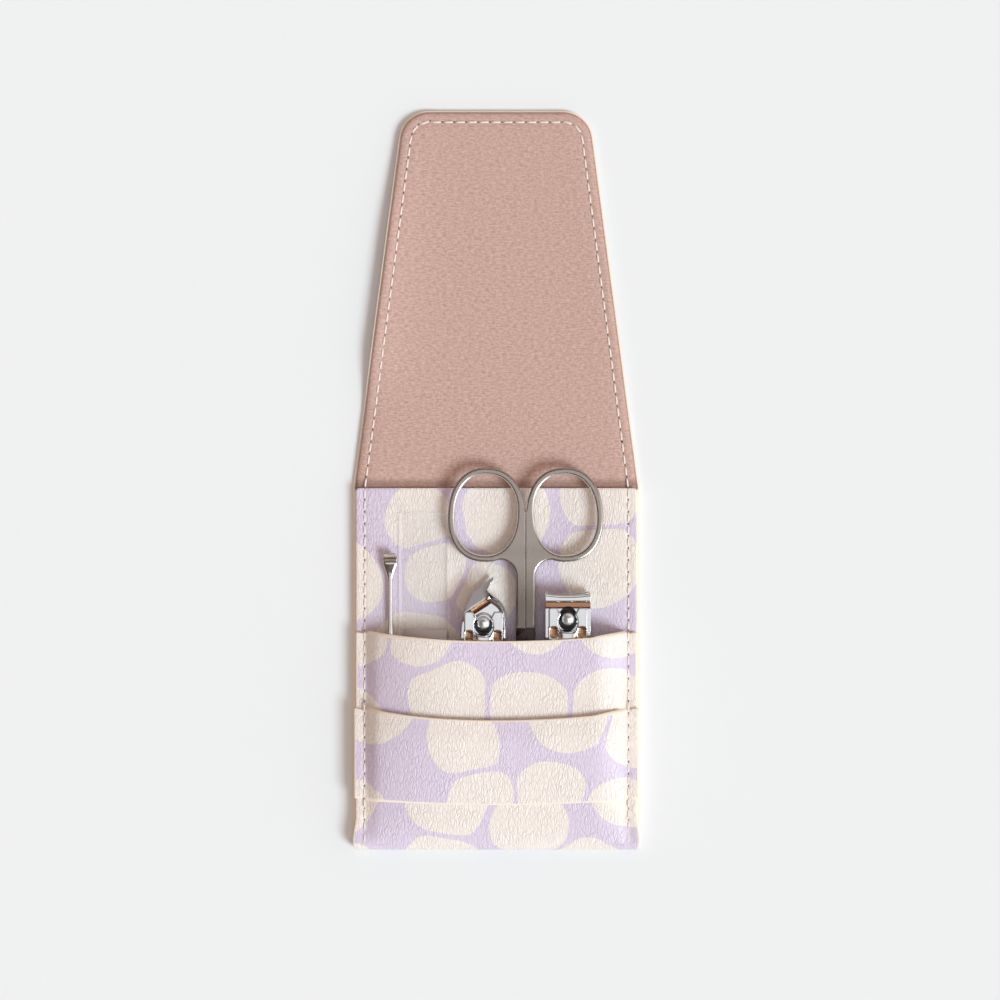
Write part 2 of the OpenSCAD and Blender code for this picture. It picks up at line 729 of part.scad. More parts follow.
// the lever, folded back over the upper arm: a fork open to the front with an ear on each side of
// the pin, a window behind each ear, and a tongue that hooks into the pin's notch
module clipper_lever() {
    window_w = 2.3;
    window_l = 3;
    window_x = lever_w / 2 - 0.45 - window_w / 2;
    window_y = -4.1;
    opening_r = pin_head_r + 1.1;
    opening_back = 3.6;
    fork_half = pin_head_r + 0.35;
    ear_front = 3.4;
    rear_r = 4.4;
    taper_back = 8;
    side = bent([[ear_front, lever_z + 0.1, lever_t * 0.8], [1.5, lever_z + 0.15, lever_t],
        [-2, lever_z, lever_t], [-6, lever_z - 0.35, lever_t], [-12, lever_z - 0.95, lever_t],
        [-30, lever_z - 2.75, lever_t],
        [-lever_len + 3, lever_z - 3.7, lever_t], [-lever_len, lever_z - 3.6, lever_t * 0.8]]);
    intersection() {
        across(lever_w, side);
        linear_extrude(4 * past) difference() {
            polygon(concat(
                [[lever_w / 2 - 0.5, ear_front], [lever_w / 2, ear_front - 0.5], [lever_w / 2, -taper_back]],
                [for (a = [0:-15:-180]) [rear_r * cos(a), -lever_len + rear_r + rear_r * sin(a)]],
                [[-lever_w / 2, -taper_back], [-lever_w / 2, ear_front - 0.5],
                    [-lever_w / 2 + 0.5, ear_front]]));
            circle(r = opening_r);
            translate([-fork_half, 0]) square([2 * fork_half, past]);
            translate([-opening_r, -opening_back]) square([2 * opening_r, opening_back]);
            for (x = [-window_x, window_x])
                translate([x, window_y]) square([window_w, window_l], center = true);
        }
    }
    translate([-tongue_w / 2, -opening_back - 0.3, notch_z - tongue_t / 2])
        cube([tongue_w, opening_back - 0.3, tongue_t]);
}

// the rivet that joins the two arms at the rear
module clipper_rivet() {
    head_z = rear_z + arm_t / 2 + rivet_room;
    head_t = 0.5;
    translate([0, rivet_y, 0]) {
        translate([0, 0, rest_gap]) cylinder(h = foot_t - rest_gap, r = rivet_head_r);
        translate([0, 0, rest_gap]) cylinder(h = head_z + head_t / 2, r = rivet_r);
        translate([0, 0, head_z]) cylinder(h = head_t, r = rivet_head_r);
    }
}

module straight_pin() {
    color(chrome_c) straight_place() clipper_pin();
}

module straight_lever() {
    color(chrome_c) straight_place() clipper_lever();
}

module straight_rivet() {
    color(chrome_c) straight_place() clipper_rivet();
}

module pointed_pin() {
    color(chrome_c) pointed_place() clipper_pin();
}

module pointed_lever() {
    color(chrome_c) pointed_place() clipper_lever();
}

module pointed_rivet() {
    color(chrome_c) pointed_place() clipper_rivet();
}

// ---- ear pick ----

// the ear pick lies along Y with the top of its scoop at y = 0 and its axis at z = 0
module ear_pick() {
    neck_y = -8.6;       // where the flat neck becomes the round one
    handle_y = -21;      // where the round neck swells
    flat_len = 16;       // the flat pusher at the lower end
    flat_t = 0.8;
    swell_len = 3;
    scoop_t = 0.8;
    scoop_len = 3.4;
    scoop = bent([[neck_y - 0.5, 0, neck_d * 0.8], [neck_y + 4, 0.1, scoop_t], [-2.6, 0.35, scoop_t],
        [-1.1, 0.9, scoop_t], [-0.4, 1.9, scoop_t * 0.8], [-0.9, 2.9, scoop_t * 0.6]]);
    color(chrome_c) translate([ear_x, ear_top_y, ear_z]) {
        intersection() {
            across(scoop_w, scoop);
            translate([0, 0, -past]) linear_extrude(2 * past) polygon([
                [-neck_d / 2, neck_y - 0.5], [neck_d / 2, neck_y - 0.5], [neck_d / 2, neck_y],
                [scoop_w / 2, -scoop_len], [scoop_w / 2, 0], [-scoop_w / 2, 0], [-scoop_w / 2, -scoop_len],
                [-neck_d / 2, neck_y]]);
        }
        rotate([90, 0, 0]) rotate_extrude() polygon([
            [0, -neck_y], [neck_d / 2, -neck_y], [neck_d / 2, -handle_y],
            [handle_d / 2, -handle_y + swell_len], [handle_d / 2, ear_len - flat_len],
            [flat_t / 2, ear_len - flat_len + swell_len], [0, ear_len - flat_len + swell_len]]);
        translate([-scoop_w * 0.3, -ear_len, -handle_d / 2])
            cube([scoop_w * 0.6, flat_len - 1, flat_t]);
    }
}

// ---- nail file and its sleeve ----

module file_sleeve() {
    length = mouth_y + sleeve_out - sleeve_low_y;
    color(film_c) translate([sleeve_x, sleeve_low_y, tool_z]) difference() {
        translate([-sleeve_w / 2, 0, 0]) cube([sleeve_w, length, sleeve_h]);
        translate([-sleeve_w / 2 + film_t, film_t, film_t])
            cube([sleeve_w - 2 * film_t, length, sleeve_h - 2 * film_t]);
    }
}

module nail_file() {
    end_r = 2;
    top_y = mouth_y + file_out;
    half = file_w / 2;
    file_shift = 0.7;    // the file lies against the right side of its sleeve
    color(file_c) translate([sleeve_x + file_shift, top_y, tool_z + (sleeve_h - file_t) / 2]) linear_extrude(file_t)
        polygon(concat(
            [[-half, 0], [half, 0], [half, -file_len + half]],
            [for (a = [0:-15:-180]) [half * cos(a), -file_len + half + end_r * 3 * sin(a)]]));
}

back_shell();
back_board();
back_lining();
inner_panel();
pocket_panel();
closure_band();
left_seam_stitching();
right_seam_stitching();
spine_shell();
spine_board();
spine_lining();
spine_stitching();
flap_shell();
flap_board();
flap_lining();
flap_stitching();
scissors_screw();
scissors_left_half();
scissors_right_half();
straight_lower_jaw();
straight_upper_jaw();
straight_pin();
straight_lever();
straight_rivet();
pointed_lower_jaw();
pointed_upper_jaw();
pointed_pin();
pointed_lever();
pointed_rivet();
ear_pick();
file_sleeve();
nail_file();
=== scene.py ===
import bmesh
import bpy
import json
import math
import numpy as np
from mathutils import Euler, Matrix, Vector
from mathutils.geometry import delaunay_2d_cdt


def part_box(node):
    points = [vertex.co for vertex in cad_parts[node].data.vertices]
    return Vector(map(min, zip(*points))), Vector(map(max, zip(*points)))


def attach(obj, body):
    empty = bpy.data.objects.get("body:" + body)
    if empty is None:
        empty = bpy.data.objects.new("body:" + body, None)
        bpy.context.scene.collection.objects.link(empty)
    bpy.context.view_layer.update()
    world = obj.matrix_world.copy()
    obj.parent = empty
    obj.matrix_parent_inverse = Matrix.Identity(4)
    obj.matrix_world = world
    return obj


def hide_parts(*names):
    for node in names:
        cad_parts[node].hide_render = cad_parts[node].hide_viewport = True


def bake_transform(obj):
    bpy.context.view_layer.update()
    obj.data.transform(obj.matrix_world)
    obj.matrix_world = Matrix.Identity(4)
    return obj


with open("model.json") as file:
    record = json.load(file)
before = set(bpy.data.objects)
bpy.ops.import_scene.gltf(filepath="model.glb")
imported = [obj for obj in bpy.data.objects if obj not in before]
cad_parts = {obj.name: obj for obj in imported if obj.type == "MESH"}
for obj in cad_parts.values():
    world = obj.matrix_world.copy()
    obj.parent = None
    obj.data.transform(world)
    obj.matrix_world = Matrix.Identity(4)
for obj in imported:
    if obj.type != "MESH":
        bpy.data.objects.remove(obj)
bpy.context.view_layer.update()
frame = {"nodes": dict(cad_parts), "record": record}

# ---- The table and the light ----
# The case lies on its back on a pale table, seen from straight above. A soft light comes from the
# lower right and an even one from the white room all round. What the plated steel mirrors is the
# sky below: a pale lamp overhead, a dim warm ceiling and pale walls low down, the left one dimmer.

scene = bpy.context.scene
scene.view_settings.view_transform = "Standard"
mm = 0.001


def sockets_set(made, values):
    for key, value in values.items():
        socket = made.inputs[key]
        if isinstance(value, bpy.types.NodeSocket):
            socket.id_data.links.new(value, socket)
        else:
            socket.default_value = value


def node(tree, kind, values=None, **settings):
    made = tree.nodes.new(kind)
    for key, value in settings.items():
        setattr(made, key, value)
    sockets_set(made, values or {})
    return made


def tree_of(*values):
    """The tree of the first socket among some values."""
    return next(value.id_data for value in values if isinstance(value, bpy.types.NodeSocket))


def maths(operation, *values, clamp=False):
    made = node(tree_of(*values), "ShaderNodeMath", dict(enumerate(values)), operation=operation)
    made.use_clamp = clamp
    return made.outputs[0]


def eased(value, low, high, to_low=0.0, to_high=1.0):
    made = node(value.id_data, "ShaderNodeMapRange", {
        "Value": value, "From Min": low, "From Max": high, "To Min": to_low, "To Max": to_high},
        interpolation_type="SMOOTHSTEP")
    return made.outputs[0]


def mixed(share, first, second, blend="MIX"):
    made = node(tree_of(share, first, second), "ShaderNodeMix", data_type="RGBA", blend_type=blend)
    sockets_set(made, {0: share, 6: first, 7: second})
    return made.outputs[2]


def noise(tree, place, scale, detail=2.0, **values):
    """A noise texture at a place, or without one over the surface's own box."""
    given_place = {} if place is None else {"Vector": place}
    return node(tree, "ShaderNodeTexNoise", {**given_place, "Scale": scale, "Detail": detail, **values})


def painted(shader, share, first, second):
    shader.id_data.links.new(mixed(share, first, second), shader.inputs["Base Color"])


def placed(name, data):
    """A new object in the scene."""
    made = bpy.data.objects.new(name, data)
    scene.collection.objects.link(made)
    return made


camera_height = 1.0
picture_span = 0.310        # how much of the table the picture shows, at the case's middle height
picture_middle = (1.1 * mm, -6.2 * mm)
camera = bpy.data.cameras.new("camera_above")
camera.sensor_width = 36
camera.lens = camera.sensor_width * (camera_height - 3 * mm) / picture_span
camera.clip_start, camera.clip_end = 0.05, 20
scene.camera = placed("camera_above", camera)
scene.camera.location = (*picture_middle, camera_height)


def sun(name, strength, colour, spread, bearing, height, mirrored=True, lights=True):
    """A far light. Bearing is in degrees from +X, and height in degrees above the table."""
    lamp = bpy.data.lights.new(name, "SUN")
    lamp.energy, lamp.color, lamp.angle = strength, colour, math.radians(spread)
    made = placed(name, lamp)
    made.rotation_euler = Euler((math.radians(90 - height), 0, math.radians(bearing + 90)))
    made.visible_glossy, made.visible_diffuse = mirrored, lights


sun("window_light", 2.67, (0.870, 1.022, 1.109), 27, -36, 43)
sun("window_glow", 0.95, (1.0, 1.0, 1.0), 60, -16, 36, lights=False)
sun("white_room", 0.91, (1.0, 0.755, 0.625), 170, 0, 88, mirrored=False)

ceiling = bpy.data.worlds.new("studio_room")
ceiling.use_nodes = True
sky = ceiling.node_tree
sky.nodes.clear()
toward = node(sky, "ShaderNodeSeparateXYZ", {0: node(sky, "ShaderNodeTexCoord").outputs["Generated"]}).outputs
sky_ramp = node(sky, "ShaderNodeValToRGB", {"Fac": toward["Z"]})
SKY_STOPS = [(0.0, (0.86, 0.87, 0.88)), (0.34, (0.84, 0.85, 0.86)), (0.44, (0.60, 0.45, 0.28)),
             (0.54, (0.34, 0.18, 0.11)), (0.66, (0.14, 0.08, 0.06)), (0.90, (0.10, 0.08, 0.075)),
             (0.955, (0.80, 0.81, 0.82)), (1.0, (0.88, 0.89, 0.90))]
while len(sky_ramp.color_ramp.elements) < len(SKY_STOPS):
    sky_ramp.color_ramp.elements.new(1.0)
for stop, (place, colour) in zip(sky_ramp.color_ramp.elements, SKY_STOPS):
    stop.position, stop.color = place, (*colour, 1)
# the wall on the left is far from the window, and dim
left_wall = eased(toward["X"], -0.55, 0.15, 0.75, 0.0)
low_down = eased(toward["Z"], 0.35, 0.95, 1.0, 0.0)
sky_colour = mixed(maths("MULTIPLY", left_wall, low_down), sky_ramp.outputs["Color"],
                   (0.10, 0.075, 0.06, 1))
sky_light = node(sky, "ShaderNodeBackground", {"Color": sky_colour, "Strength": 1.0})
node(sky, "ShaderNodeOutputWorld", {"Surface": sky_light.outputs[0]})
scene.world = ceiling


def material(name, **settings):
    """A new material with its Principled shader's own sockets set."""
    made = bpy.data.materials.new(name)
    made.use_nodes = True
    shader = made.node_tree.nodes["Principled BSDF"]
    sockets_set(shader, {key.replace("_", " "): value for key, value in settings.items()})
    return made, made.node_tree, shader


table_paper, tree, shader = material("table_paper", Roughness=0.9)
shader.inputs["Specular IOR Level"].default_value = 0.1
fibre = eased(noise(tree, None, 900.0).outputs[0], 0.3, 0.7)
painted(shader, fibre, (0.768, 0.790, 0.800, 1), (0.771, 0.793, 0.803, 1))
table_half = 6.0
table_mesh = bpy.data.meshes.new("table_top")
table_mesh.from_pydata([(x * table_half, y * table_half, -0.05 * mm)
                        for x, y in ((-1, -1), (1, -1), (1, 1), (-1, 1))], [], [(0, 1, 2, 3)])
table_mesh.materials.append(table_paper)
table_top = placed("table_top", table_mesh)

# ---- The outer leather ----
# Soft printed leatherette over the whole outside: the back, the spine between two creases, and
# the tapered flap, which all run on from one to the next. Its edges are cut, and show its core.

hinges = {j["name"]: j["pos_m"] for j in frame["record"]["behaviour"]["joints"] if "pos_m" in j}
lower_crease, upper_crease = hinges["spine_fold"][1], hinges["flap_fold"][1]
spine_middle = (lower_crease + upper_crease) / 2
back_low, back_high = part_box("back_shell")
flap_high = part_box("flap_shell")[1]
case_half, shell_t = back_high.x, back_high.z
panel_low, panel_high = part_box("inner_panel")
taper_y, fold_y, tip_y = panel_high.y, back_low.y, flap_high.y
tip_half, tip_r = 29.1 * mm, 9.5 * mm
taper = math.atan((case_half - tip_half) / (tip_y - taper_y))
corner_x = tip_half - tip_r * (1 - math.sin(taper)) / math.cos(taper)
seam_inset = 3.65 * mm
EDGE_STEPS = [0, 0.06, 0.2, 0.45, 0.9, 1.5, 2.2, 2.8, 3.2, 3.5, 3.8, 4.1, 4.5, 5.1, 5.9, 7, 8.2, 9.5]


def half_width(y):
    return min(case_half, tip_half + (tip_y - y) * math.tan(taper))


def back_point(side, inset, y):
    """The point at y whose distance from the leather's side edge is inset."""
    slant = math.cos(taper) if y > taper_y else 1
    return side * (half_width(y) - inset / slant), y


def flap_point(side, inset, down):
    """The same on the flap, where down is the distance from the tip's edge, round its corner."""
    if down < tip_r:
        x, y = tip_r - inset, tip_r - down
        turn = taper + math.atan2(y, x) * (1 - 2 * taper / math.pi) if x or y else 0
        reach = max(x, y)
        return side * (corner_x + reach * math.cos(turn)), tip_y - tip_r + reach * math.sin(turn)
    level = taper * max(0, 1 - (down - tip_r) / (20 * mm))
    middle_y = tip_y - down
    middle_x = half_width(middle_y) - tip_r / math.cos(taper)
    reach = (tip_r - inset) / math.cos(taper - level)
    return side * (middle_x + reach * math.cos(level)), middle_y + reach * math.sin(level)


def sheet_rows(point, rows, inset, middle_steps=18):
    """A grid of points over a panel: columns keep their distance from both side edges."""
    grid, depth = [], []
    for row in rows:
        first_in = inset(row) if callable(inset) else inset
        steps = [min(first_in + s * mm * (tip_r - first_in) / tip_r, tip_r) for s in EDGE_STEPS]
        left = [point(-1, s, row) for s in steps]
        right = [point(1, s, row) for s in reversed(steps)]
        first, last = left[-1], right[0]
        middle = [(first[0] + (last[0] - first[0]) * i / middle_steps,
                   first[1] + (last[1] - first[1]) * i / middle_steps) for i in range(1, middle_steps)]
        grid.append(left + middle + right)
        depth.append(steps + [tip_r] * (middle_steps - 1) + steps[::-1])
    return np.array(grid), np.array(depth)


def smooth(mesh):
    mesh.polygons.foreach_set("use_smooth", np.ones(len(mesh.polygons), bool))


def grid_solid(name, under, over, flat_place, materials, edge_depth=None, bare=0.0):
    """A closed sheet between two grids of points. materials: face over, face under, cut edge.
    flat_place is where each point was on the flat leather, which the print and grain follow, and
    edge_depth is its distance from the nearest cut edge, where a bare rim of core shows."""
    rows, columns = over.shape[:2]
    size = rows * columns
    number = np.arange(size).reshape(rows, columns)
    quads = np.stack([number[:-1, :-1], number[:-1, 1:], number[1:, 1:], number[1:, :-1]], -1).reshape(-1, 4)
    rim = np.concatenate([number[0, :], number[1:, -1], number[-1, -2::-1], number[-2:0:-1, 0]])
    walls = np.stack([np.roll(rim, -1), rim, rim + size, np.roll(rim, -1) + size], -1)
    # the over grid has the lower numbers
    faces = np.concatenate([quads, quads[:, ::-1] + size, walls])
    mesh = bpy.data.meshes.new(name)
    mesh.from_pydata(np.concatenate([over.reshape(-1, 3), under.reshape(-1, 3)]).tolist(), [], faces.tolist())
    for m in materials:
        mesh.materials.append(m)
    slots = np.concatenate([np.zeros(len(quads)), np.ones(len(quads)), np.full(len(walls), 2)])
    if bare:
        slots[:len(quads)][edge_depth.ravel()[quads].mean(1) < bare] = 2
    mesh.polygons.foreach_set("material_index", slots.astype(np.int32))
    smooth(mesh)
    place = mesh.attributes.new("flat_place", "FLOAT_VECTOR", "POINT")
    flat = np.concatenate([flat_place.reshape(-1, 2)] * 2)
    place.data.foreach_set("vector", np.column_stack([flat, np.zeros(len(flat))]).astype(np.float32).ravel())
    if edge_depth is not None:
        depths = mesh.attributes.new("edge_depth", "FLOAT", "POINT")
        depths.data.foreach_set("value", np.tile(edge_depth.ravel(), 2).astype(np.float32))
    mesh.set_sharp_from_angle(angle=math.radians(50))
    mesh.update()
    return placed(name, mesh)


def group_tree(name, inputs, outputs):
    """A shader node group with named inputs and outputs: {name: (kind, value)}, {name: kind}."""
    made = bpy.data.node_groups.new(name, "ShaderNodeTree")
    for key, (kind, value) in inputs.items():
        socket = made.interface.new_socket(key, in_out="INPUT", socket_type=kind)
        if value is not None:
            socket.default_value = value
    for key, kind in outputs.items():
        made.interface.new_socket(key, in_out="OUTPUT", socket_type=kind)
    return made, made.nodes.new("NodeGroupInput").outputs, made.nodes.new("NodeGroupOutput")


FLOAT, VECTOR = "NodeSocketFloat", "NodeSocketVector"


def in_steps_of(place, size):
    """A place measured in steps of a size."""
    scaled = node(place.id_data, "ShaderNodeVectorMath", {0: place}, operation="SCALE")
    sockets_set(scaled, {"Scale": maths("DIVIDE", 1.0, size)})
    return scaled.outputs[0]


def vector_maths(operation, *values):
    made = node(tree_of(*values), "ShaderNodeVectorMath", dict(enumerate(values)), operation=operation)
    return made.outputs[0]


def disturbed(place, by, reach):
    """A place moved about along X and Y by a noise."""
    shift = vector_maths("SUBTRACT", by.outputs["Color"], (0.5, 0.5, 0.5))
    return vector_maths("ADD", place, vector_maths("MULTIPLY", shift, (reach, reach, 0.0)))


def cells(place, feature, randomness=1.0):
    return node(place.id_data, "ShaderNodeTexVoronoi", {
        "Vector": place, "Scale": 1.0, "Randomness": randomness}, feature=feature, voronoi_dimensions="2D")


# fine pebble grain with shallow creases that run mostly along Y
grain_size, dot_spacing = 0.8 * mm, 28 * mm
leather_grain, given, out = group_tree(
    "leather_grain", {"Place": (VECTOR, None), "Grain": (FLOAT, grain_size)},
    {"Height": FLOAT, "Crease": FLOAT})
place = in_steps_of(given["Place"], given["Grain"])
drifted = disturbed(place, noise(leather_grain, place, 0.32, 3.0), 2.4)
pebbles = cells(vector_maths("MULTIPLY", drifted, (1.0, 0.32, 1.0)), "DISTANCE_TO_EDGE")
wrinkles = cells(vector_maths("MULTIPLY", drifted, (0.62, 0.13, 1.0)), "DISTANCE_TO_EDGE")
pebble_rise = eased(pebbles.outputs["Distance"], 0.0, 0.30)
wrinkle_rise = eased(wrinkles.outputs["Distance"], 0.0, 0.12)
patches = eased(noise(leather_grain, place, 0.09, 1.0).outputs[0], 0.3, 0.65, 0.35, 1.0)
height = maths("ADD", maths("MULTIPLY", pebble_rise, 0.6), maths("MULTIPLY", wrinkle_rise, 0.8))
height = maths("MULTIPLY", height, patches)
fine = noise(leather_grain, place, 2.4)
height = maths("ADD", height, maths("MULTIPLY", fine.outputs[0], 0.3))
flat_tops = maths("MULTIPLY", pebble_rise, wrinkle_rise)
sockets_set(out, {"Height": height, "Crease": maths("SUBTRACT", 1.0, flat_tops)})

# a plain print of big loose dots of cream on lilac, no two of one size, that never touch
dot_print, given, out = group_tree(
    "dot_print", {"Place": (VECTOR, None), "Spacing": (FLOAT, dot_spacing)}, {"Dot": FLOAT})
place = in_steps_of(given["Place"], given["Spacing"])
wobbled = disturbed(place, noise(dot_print, place, 1.1, 0.0), 0.22)
dot_looseness = 0.55
spots, gaps, room = (cells(wobbled, feature, dot_looseness)
                     for feature in ("F1", "DISTANCE_TO_EDGE", "N_SPHERE_RADIUS"))
reach = maths("MULTIPLY_ADD", room.outputs["Radius"], 0.80, 0.135)
inside = maths("SUBTRACT", reach, spots.outputs["Distance"])
apart = maths("SUBTRACT", gaps.outputs["Distance"], 0.025)
both = node(dot_print, "ShaderNodeMath", {0: inside, 1: apart, 2: 0.09}, operation="SMOOTH_MIN")
sockets_set(out, {"Dot": eased(both.outputs[0], -0.004, 0.004)})

CREAM, LILAC = (0.805, 0.738, 0.680, 1), (0.658, 0.575, 0.695, 1)
CORE = (0.800, 0.685, 0.560, 1)


def bumped(shader, strength, depth, height):
    bump = node(shader.id_data, "ShaderNodeBump", {"Strength": strength, "Distance": depth, "Height": height})
    shader.id_data.links.new(bump.outputs[0], shader.inputs["Normal"])


def printed_leather(name, shift=(0.0, 0.0)):
    """Leatherette with the print moved along, so that no two pieces are cut from the same spot."""
    made, tree, shader = material(name, Roughness=0.5)
    sockets_set(shader, {"Specular IOR Level": 0.45, "Sheen Weight": 0.08, "Sheen Roughness": 0.5})
    place = node(tree, "ShaderNodeAttribute", attribute_name="flat_place").outputs["Vector"]
    grain = node(tree, "ShaderNodeGroup", node_tree=leather_grain)
    sockets_set(grain, {"Place": place, "Grain": grain_size})
    dots = node(tree, "ShaderNodeGroup", node_tree=dot_print)
    sockets_set(dots, {"Place": vector_maths("ADD", place, (*shift, 0.0)), "Spacing": dot_spacing})
    ink = mixed(dots.outputs["Dot"], LILAC, CREAM)
    # the colour is darker in the grain's creases
    crease_dark = maths("MULTIPLY", grain.outputs["Crease"], 0.16)
    tree.links.new(mixed(crease_dark, ink, (0.50, 0.40, 0.42, 1), "MULTIPLY"), shader.inputs["Base Color"])
    tree.links.new(eased(grain.outputs["Height"], 0.2, 1.5, 0.60, 0.40), shader.inputs["Roughness"])
    bumped(shader, 0.5, 0.25 * mm, grain.outputs["Height"])
    return made


def own_place(tree):
    return node(tree, "ShaderNodeTexCoord").outputs["Object"]


outer_print = printed_leather("outer_print")
leather_core, tree, shader = material("leather_core", Roughness=0.75)
fibres = noise(tree, own_place(tree), 2600.0, 4.0).outputs[0]
painted(shader, fibres, CORE, (0.86, 0.75, 0.63, 1))
bumped(shader, 0.3, 0.1 * mm, fibres)

ROUNDING = ([0, 0.06, 0.2, 0.45, 0.9], [0.24, 0.14, 0.05, 0.01, 0])


def rounding(depth):
    """How far a cut edge is rounded off at a distance from it."""
    return np.interp(depth / mm, *ROUNDING) * mm


def spread(start, end, step):
    count = max(1, math.ceil(abs(end - start) / step))
    return [start + (end - start) * i / count for i in range(count + 1)]


# rows close together at the creases, where the leather turns, and at the tip's sewn edge
tip_rows = [s * mm for s in EDGE_STEPS]
turn_half = 3 * mm          # the rows this near to a crease are close together
coarse, middling, close = 2.5 * mm, 1.2 * mm, 0.35 * mm
crease_down = tip_y - upper_crease
flap_rows = (spread(tip_y - spine_middle, crease_down + turn_half, middling)[:-1]
             + spread(crease_down + turn_half, crease_down - turn_half, close)[:-1]
             + spread(crease_down - turn_half, tip_r, coarse)[:-1] + tip_rows[::-1])
back_rows = (spread(fold_y, taper_y, coarse)[:-1] + spread(taper_y, lower_crease - turn_half, middling)[:-1]
             + spread(lower_crease - turn_half, lower_crease + turn_half, close)[:-1]
             + spread(lower_crease + turn_half, spine_middle, middling))


def softly(share):
    """An even rise from 0 to 1 with both ends eased."""
    share = np.clip(share, 0, 1)
    return share * share * (3 - 2 * share)


def at_height(grid, height):
    return np.concatenate([grid, np.broadcast_to(height, grid.shape[:2])[..., None]], -1)


def flap_curl(x, y):
    """How far the flap's long edges have bent up off the table, the left one more, the tip less."""
    x, y = np.asarray(x), np.asarray(y)
    half = np.minimum(case_half, tip_half + (tip_y - y) * math.tan(taper))
    reach = np.where(x < 0, 2.8 * mm, 0.5 * mm) * np.clip(np.abs(x) / half, 0, 1) ** 5
    reach = reach * (0.3 + 0.7 * softly((tip_y - y) / (45 * mm)))
    return reach * softly((y - upper_crease - 2 * mm) / (22 * mm))


def curl_up(grid, *faces):
    for face in faces:
        face[..., 2] += flap_curl(grid[..., 0], grid[..., 1])


def tip_depth(depth, rows):
    """Distance from the edge, all round the flap."""
    return np.minimum(depth, np.array(rows)[:, None])


def bends_at(crease, made, slot, *nodes):
    """Bakes a piece's placement into its mesh and hides the CAD nodes that it takes the place of."""
    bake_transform(made)
    if nodes:
        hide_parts(*nodes)


def leather_faces(grid, depth):
    outer_groove = 0.42 * mm * np.exp(-((depth - seam_inset) / (0.45 * mm)) ** 2)
    under = at_height(grid, rounding(depth) + outer_groove)
    over = at_height(grid, shell_t - rounding(depth) * 0.6)
    return under, over


grid, depth = sheet_rows(back_point, back_rows, 0)
under, over = leather_faces(grid, depth)
back_leather = grid_solid("back_leather", under, over, grid, [leather_core, outer_print, leather_core])
bends_at(lower_crease, back_leather, "outer_leather", "back_shell", "spine_shell")

grid, depth = sheet_rows(flap_point, flap_rows, 0)
under, over = leather_faces(grid, tip_depth(depth, flap_rows))
curl_up(grid, under, over)
flap_leather = grid_solid("flap_leather", under, over, grid, [leather_core, outer_print, leather_core])
bends_at(upper_crease, flap_leather, "outer_leather", "flap_shell", "spine_shell")

# ---- The lining ----
# A dusty rose canvas over the whole inside, sewn to the leather round its edge. The board
# between them shows as the flat middle inside the stitches.

canvas_thread = 0.30 * mm
canvas_weave, given, out = group_tree(
    "canvas_weave", {"Place": (VECTOR, None), "Thread": (FLOAT, canvas_thread)},
    {"Height": FLOAT, "Tone": FLOAT})
place = in_steps_of(given["Place"], given["Thread"])
uneven = noise(canvas_weave, place, 0.10).outputs["Color"]
uneven_place = vector_maths("ADD", place, vector_maths("MULTIPLY", uneven, (1.6, 1.6, 0.0)))
thread_xy = node(canvas_weave, "ShaderNodeSeparateXYZ", {0: uneven_place}).outputs
across, along = (maths("SINE", maths("MULTIPLY", thread_xy[key], math.pi)) for key in "XY")
weave_height = maths("MULTIPLY_ADD", maths("MULTIPLY", across, along), 0.5, 0.5)
# how dark each bit of thread is: the weft, the warp, thicker nubs in both, and the weave itself
tone = maths("MULTIPLY_ADD", weave_height, 0.14, -0.07)
for stretch, scale, detail, weight in (
        ((0.20, 0.90, 1.0), 0.9, 2.0, 0.40), ((0.90, 0.26, 1.0), 0.9, 2.0, 0.27),
        ((0.5, 0.9, 1.0), 0.55, 1.0, 0.33)):
    threads = noise(canvas_weave, vector_maths("MULTIPLY", uneven_place, stretch), scale, detail)
    tone = maths("MULTIPLY_ADD", threads.outputs[0], weight, tone)
sockets_set(out, {"Height": weave_height, "Tone": tone})


def own_axes(tree):
    return node(tree, "ShaderNodeSeparateXYZ", {0: own_place(tree)}).outputs


rose_canvas, tree, shader = material("rose_canvas", Roughness=0.92)
sockets_set(shader, {"Specular IOR Level": 0.2, "Sheen Weight": 0.12, "Sheen Roughness": 0.4})
weave = node(tree, "ShaderNodeGroup", node_tree=canvas_weave)
sockets_set(weave, {"Place": node(tree, "ShaderNodeAttribute", attribute_name="flat_place").outputs["Vector"],
                    "Thread": canvas_thread})
canvas_colour = mixed(eased(weave.outputs["Tone"], 0.32, 0.68),
                      (0.418, 0.262, 0.220, 1), (0.622, 0.440, 0.376, 1))
# painted shade: the cloth is darker along its cut edge, where it is folded down to the edge
edge_depth = node(tree, "ShaderNodeAttribute", attribute_name="edge_depth").outputs["Fac"]
painted_edge_shade = eased(edge_depth, 0.1 * mm, 0.75 * mm, 0.42, 0.0)
canvas_colour = mixed(painted_edge_shade, canvas_colour, (0.34, 0.24, 0.21, 1), "MULTIPLY")
# and painted darker where it comes out from under the inner panel: the panel's shadow on it
painted_panel_shadow = eased(own_axes(tree)["Y"], taper_y + 1.2 * mm, taper_y + 3.6 * mm, 0.62, 0.0)
canvas_colour = mixed(painted_panel_shadow, canvas_colour, (0.40, 0.33, 0.30, 1), "MULTIPLY")
tree.links.new(canvas_colour, shader.inputs["Base Color"])
bumped(shader, 0.4, 0.10 * mm, weave.outputs["Height"])

lining_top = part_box("flap_lining")[1].z
lining_inset, hidden_inset = 0.6 * mm, 1.7 * mm
board_edge, board_gap = 1.15 * mm, 0.02 * mm
PINCH = ([0, 1.0, 2.7, 3.35, 3.65, 3.95, 4.6, 5.8, 7.2], [0.13, 0.08, 0.09, 0.22, 0.28, 0.22, 0.09, 0.02, 0])
LINING_DROP = ([0.6, 0.9, 1.2, 1.7, 2.4, 3.0], [0.62, 0.50, 0.30, 0.12, 0.03, 0])


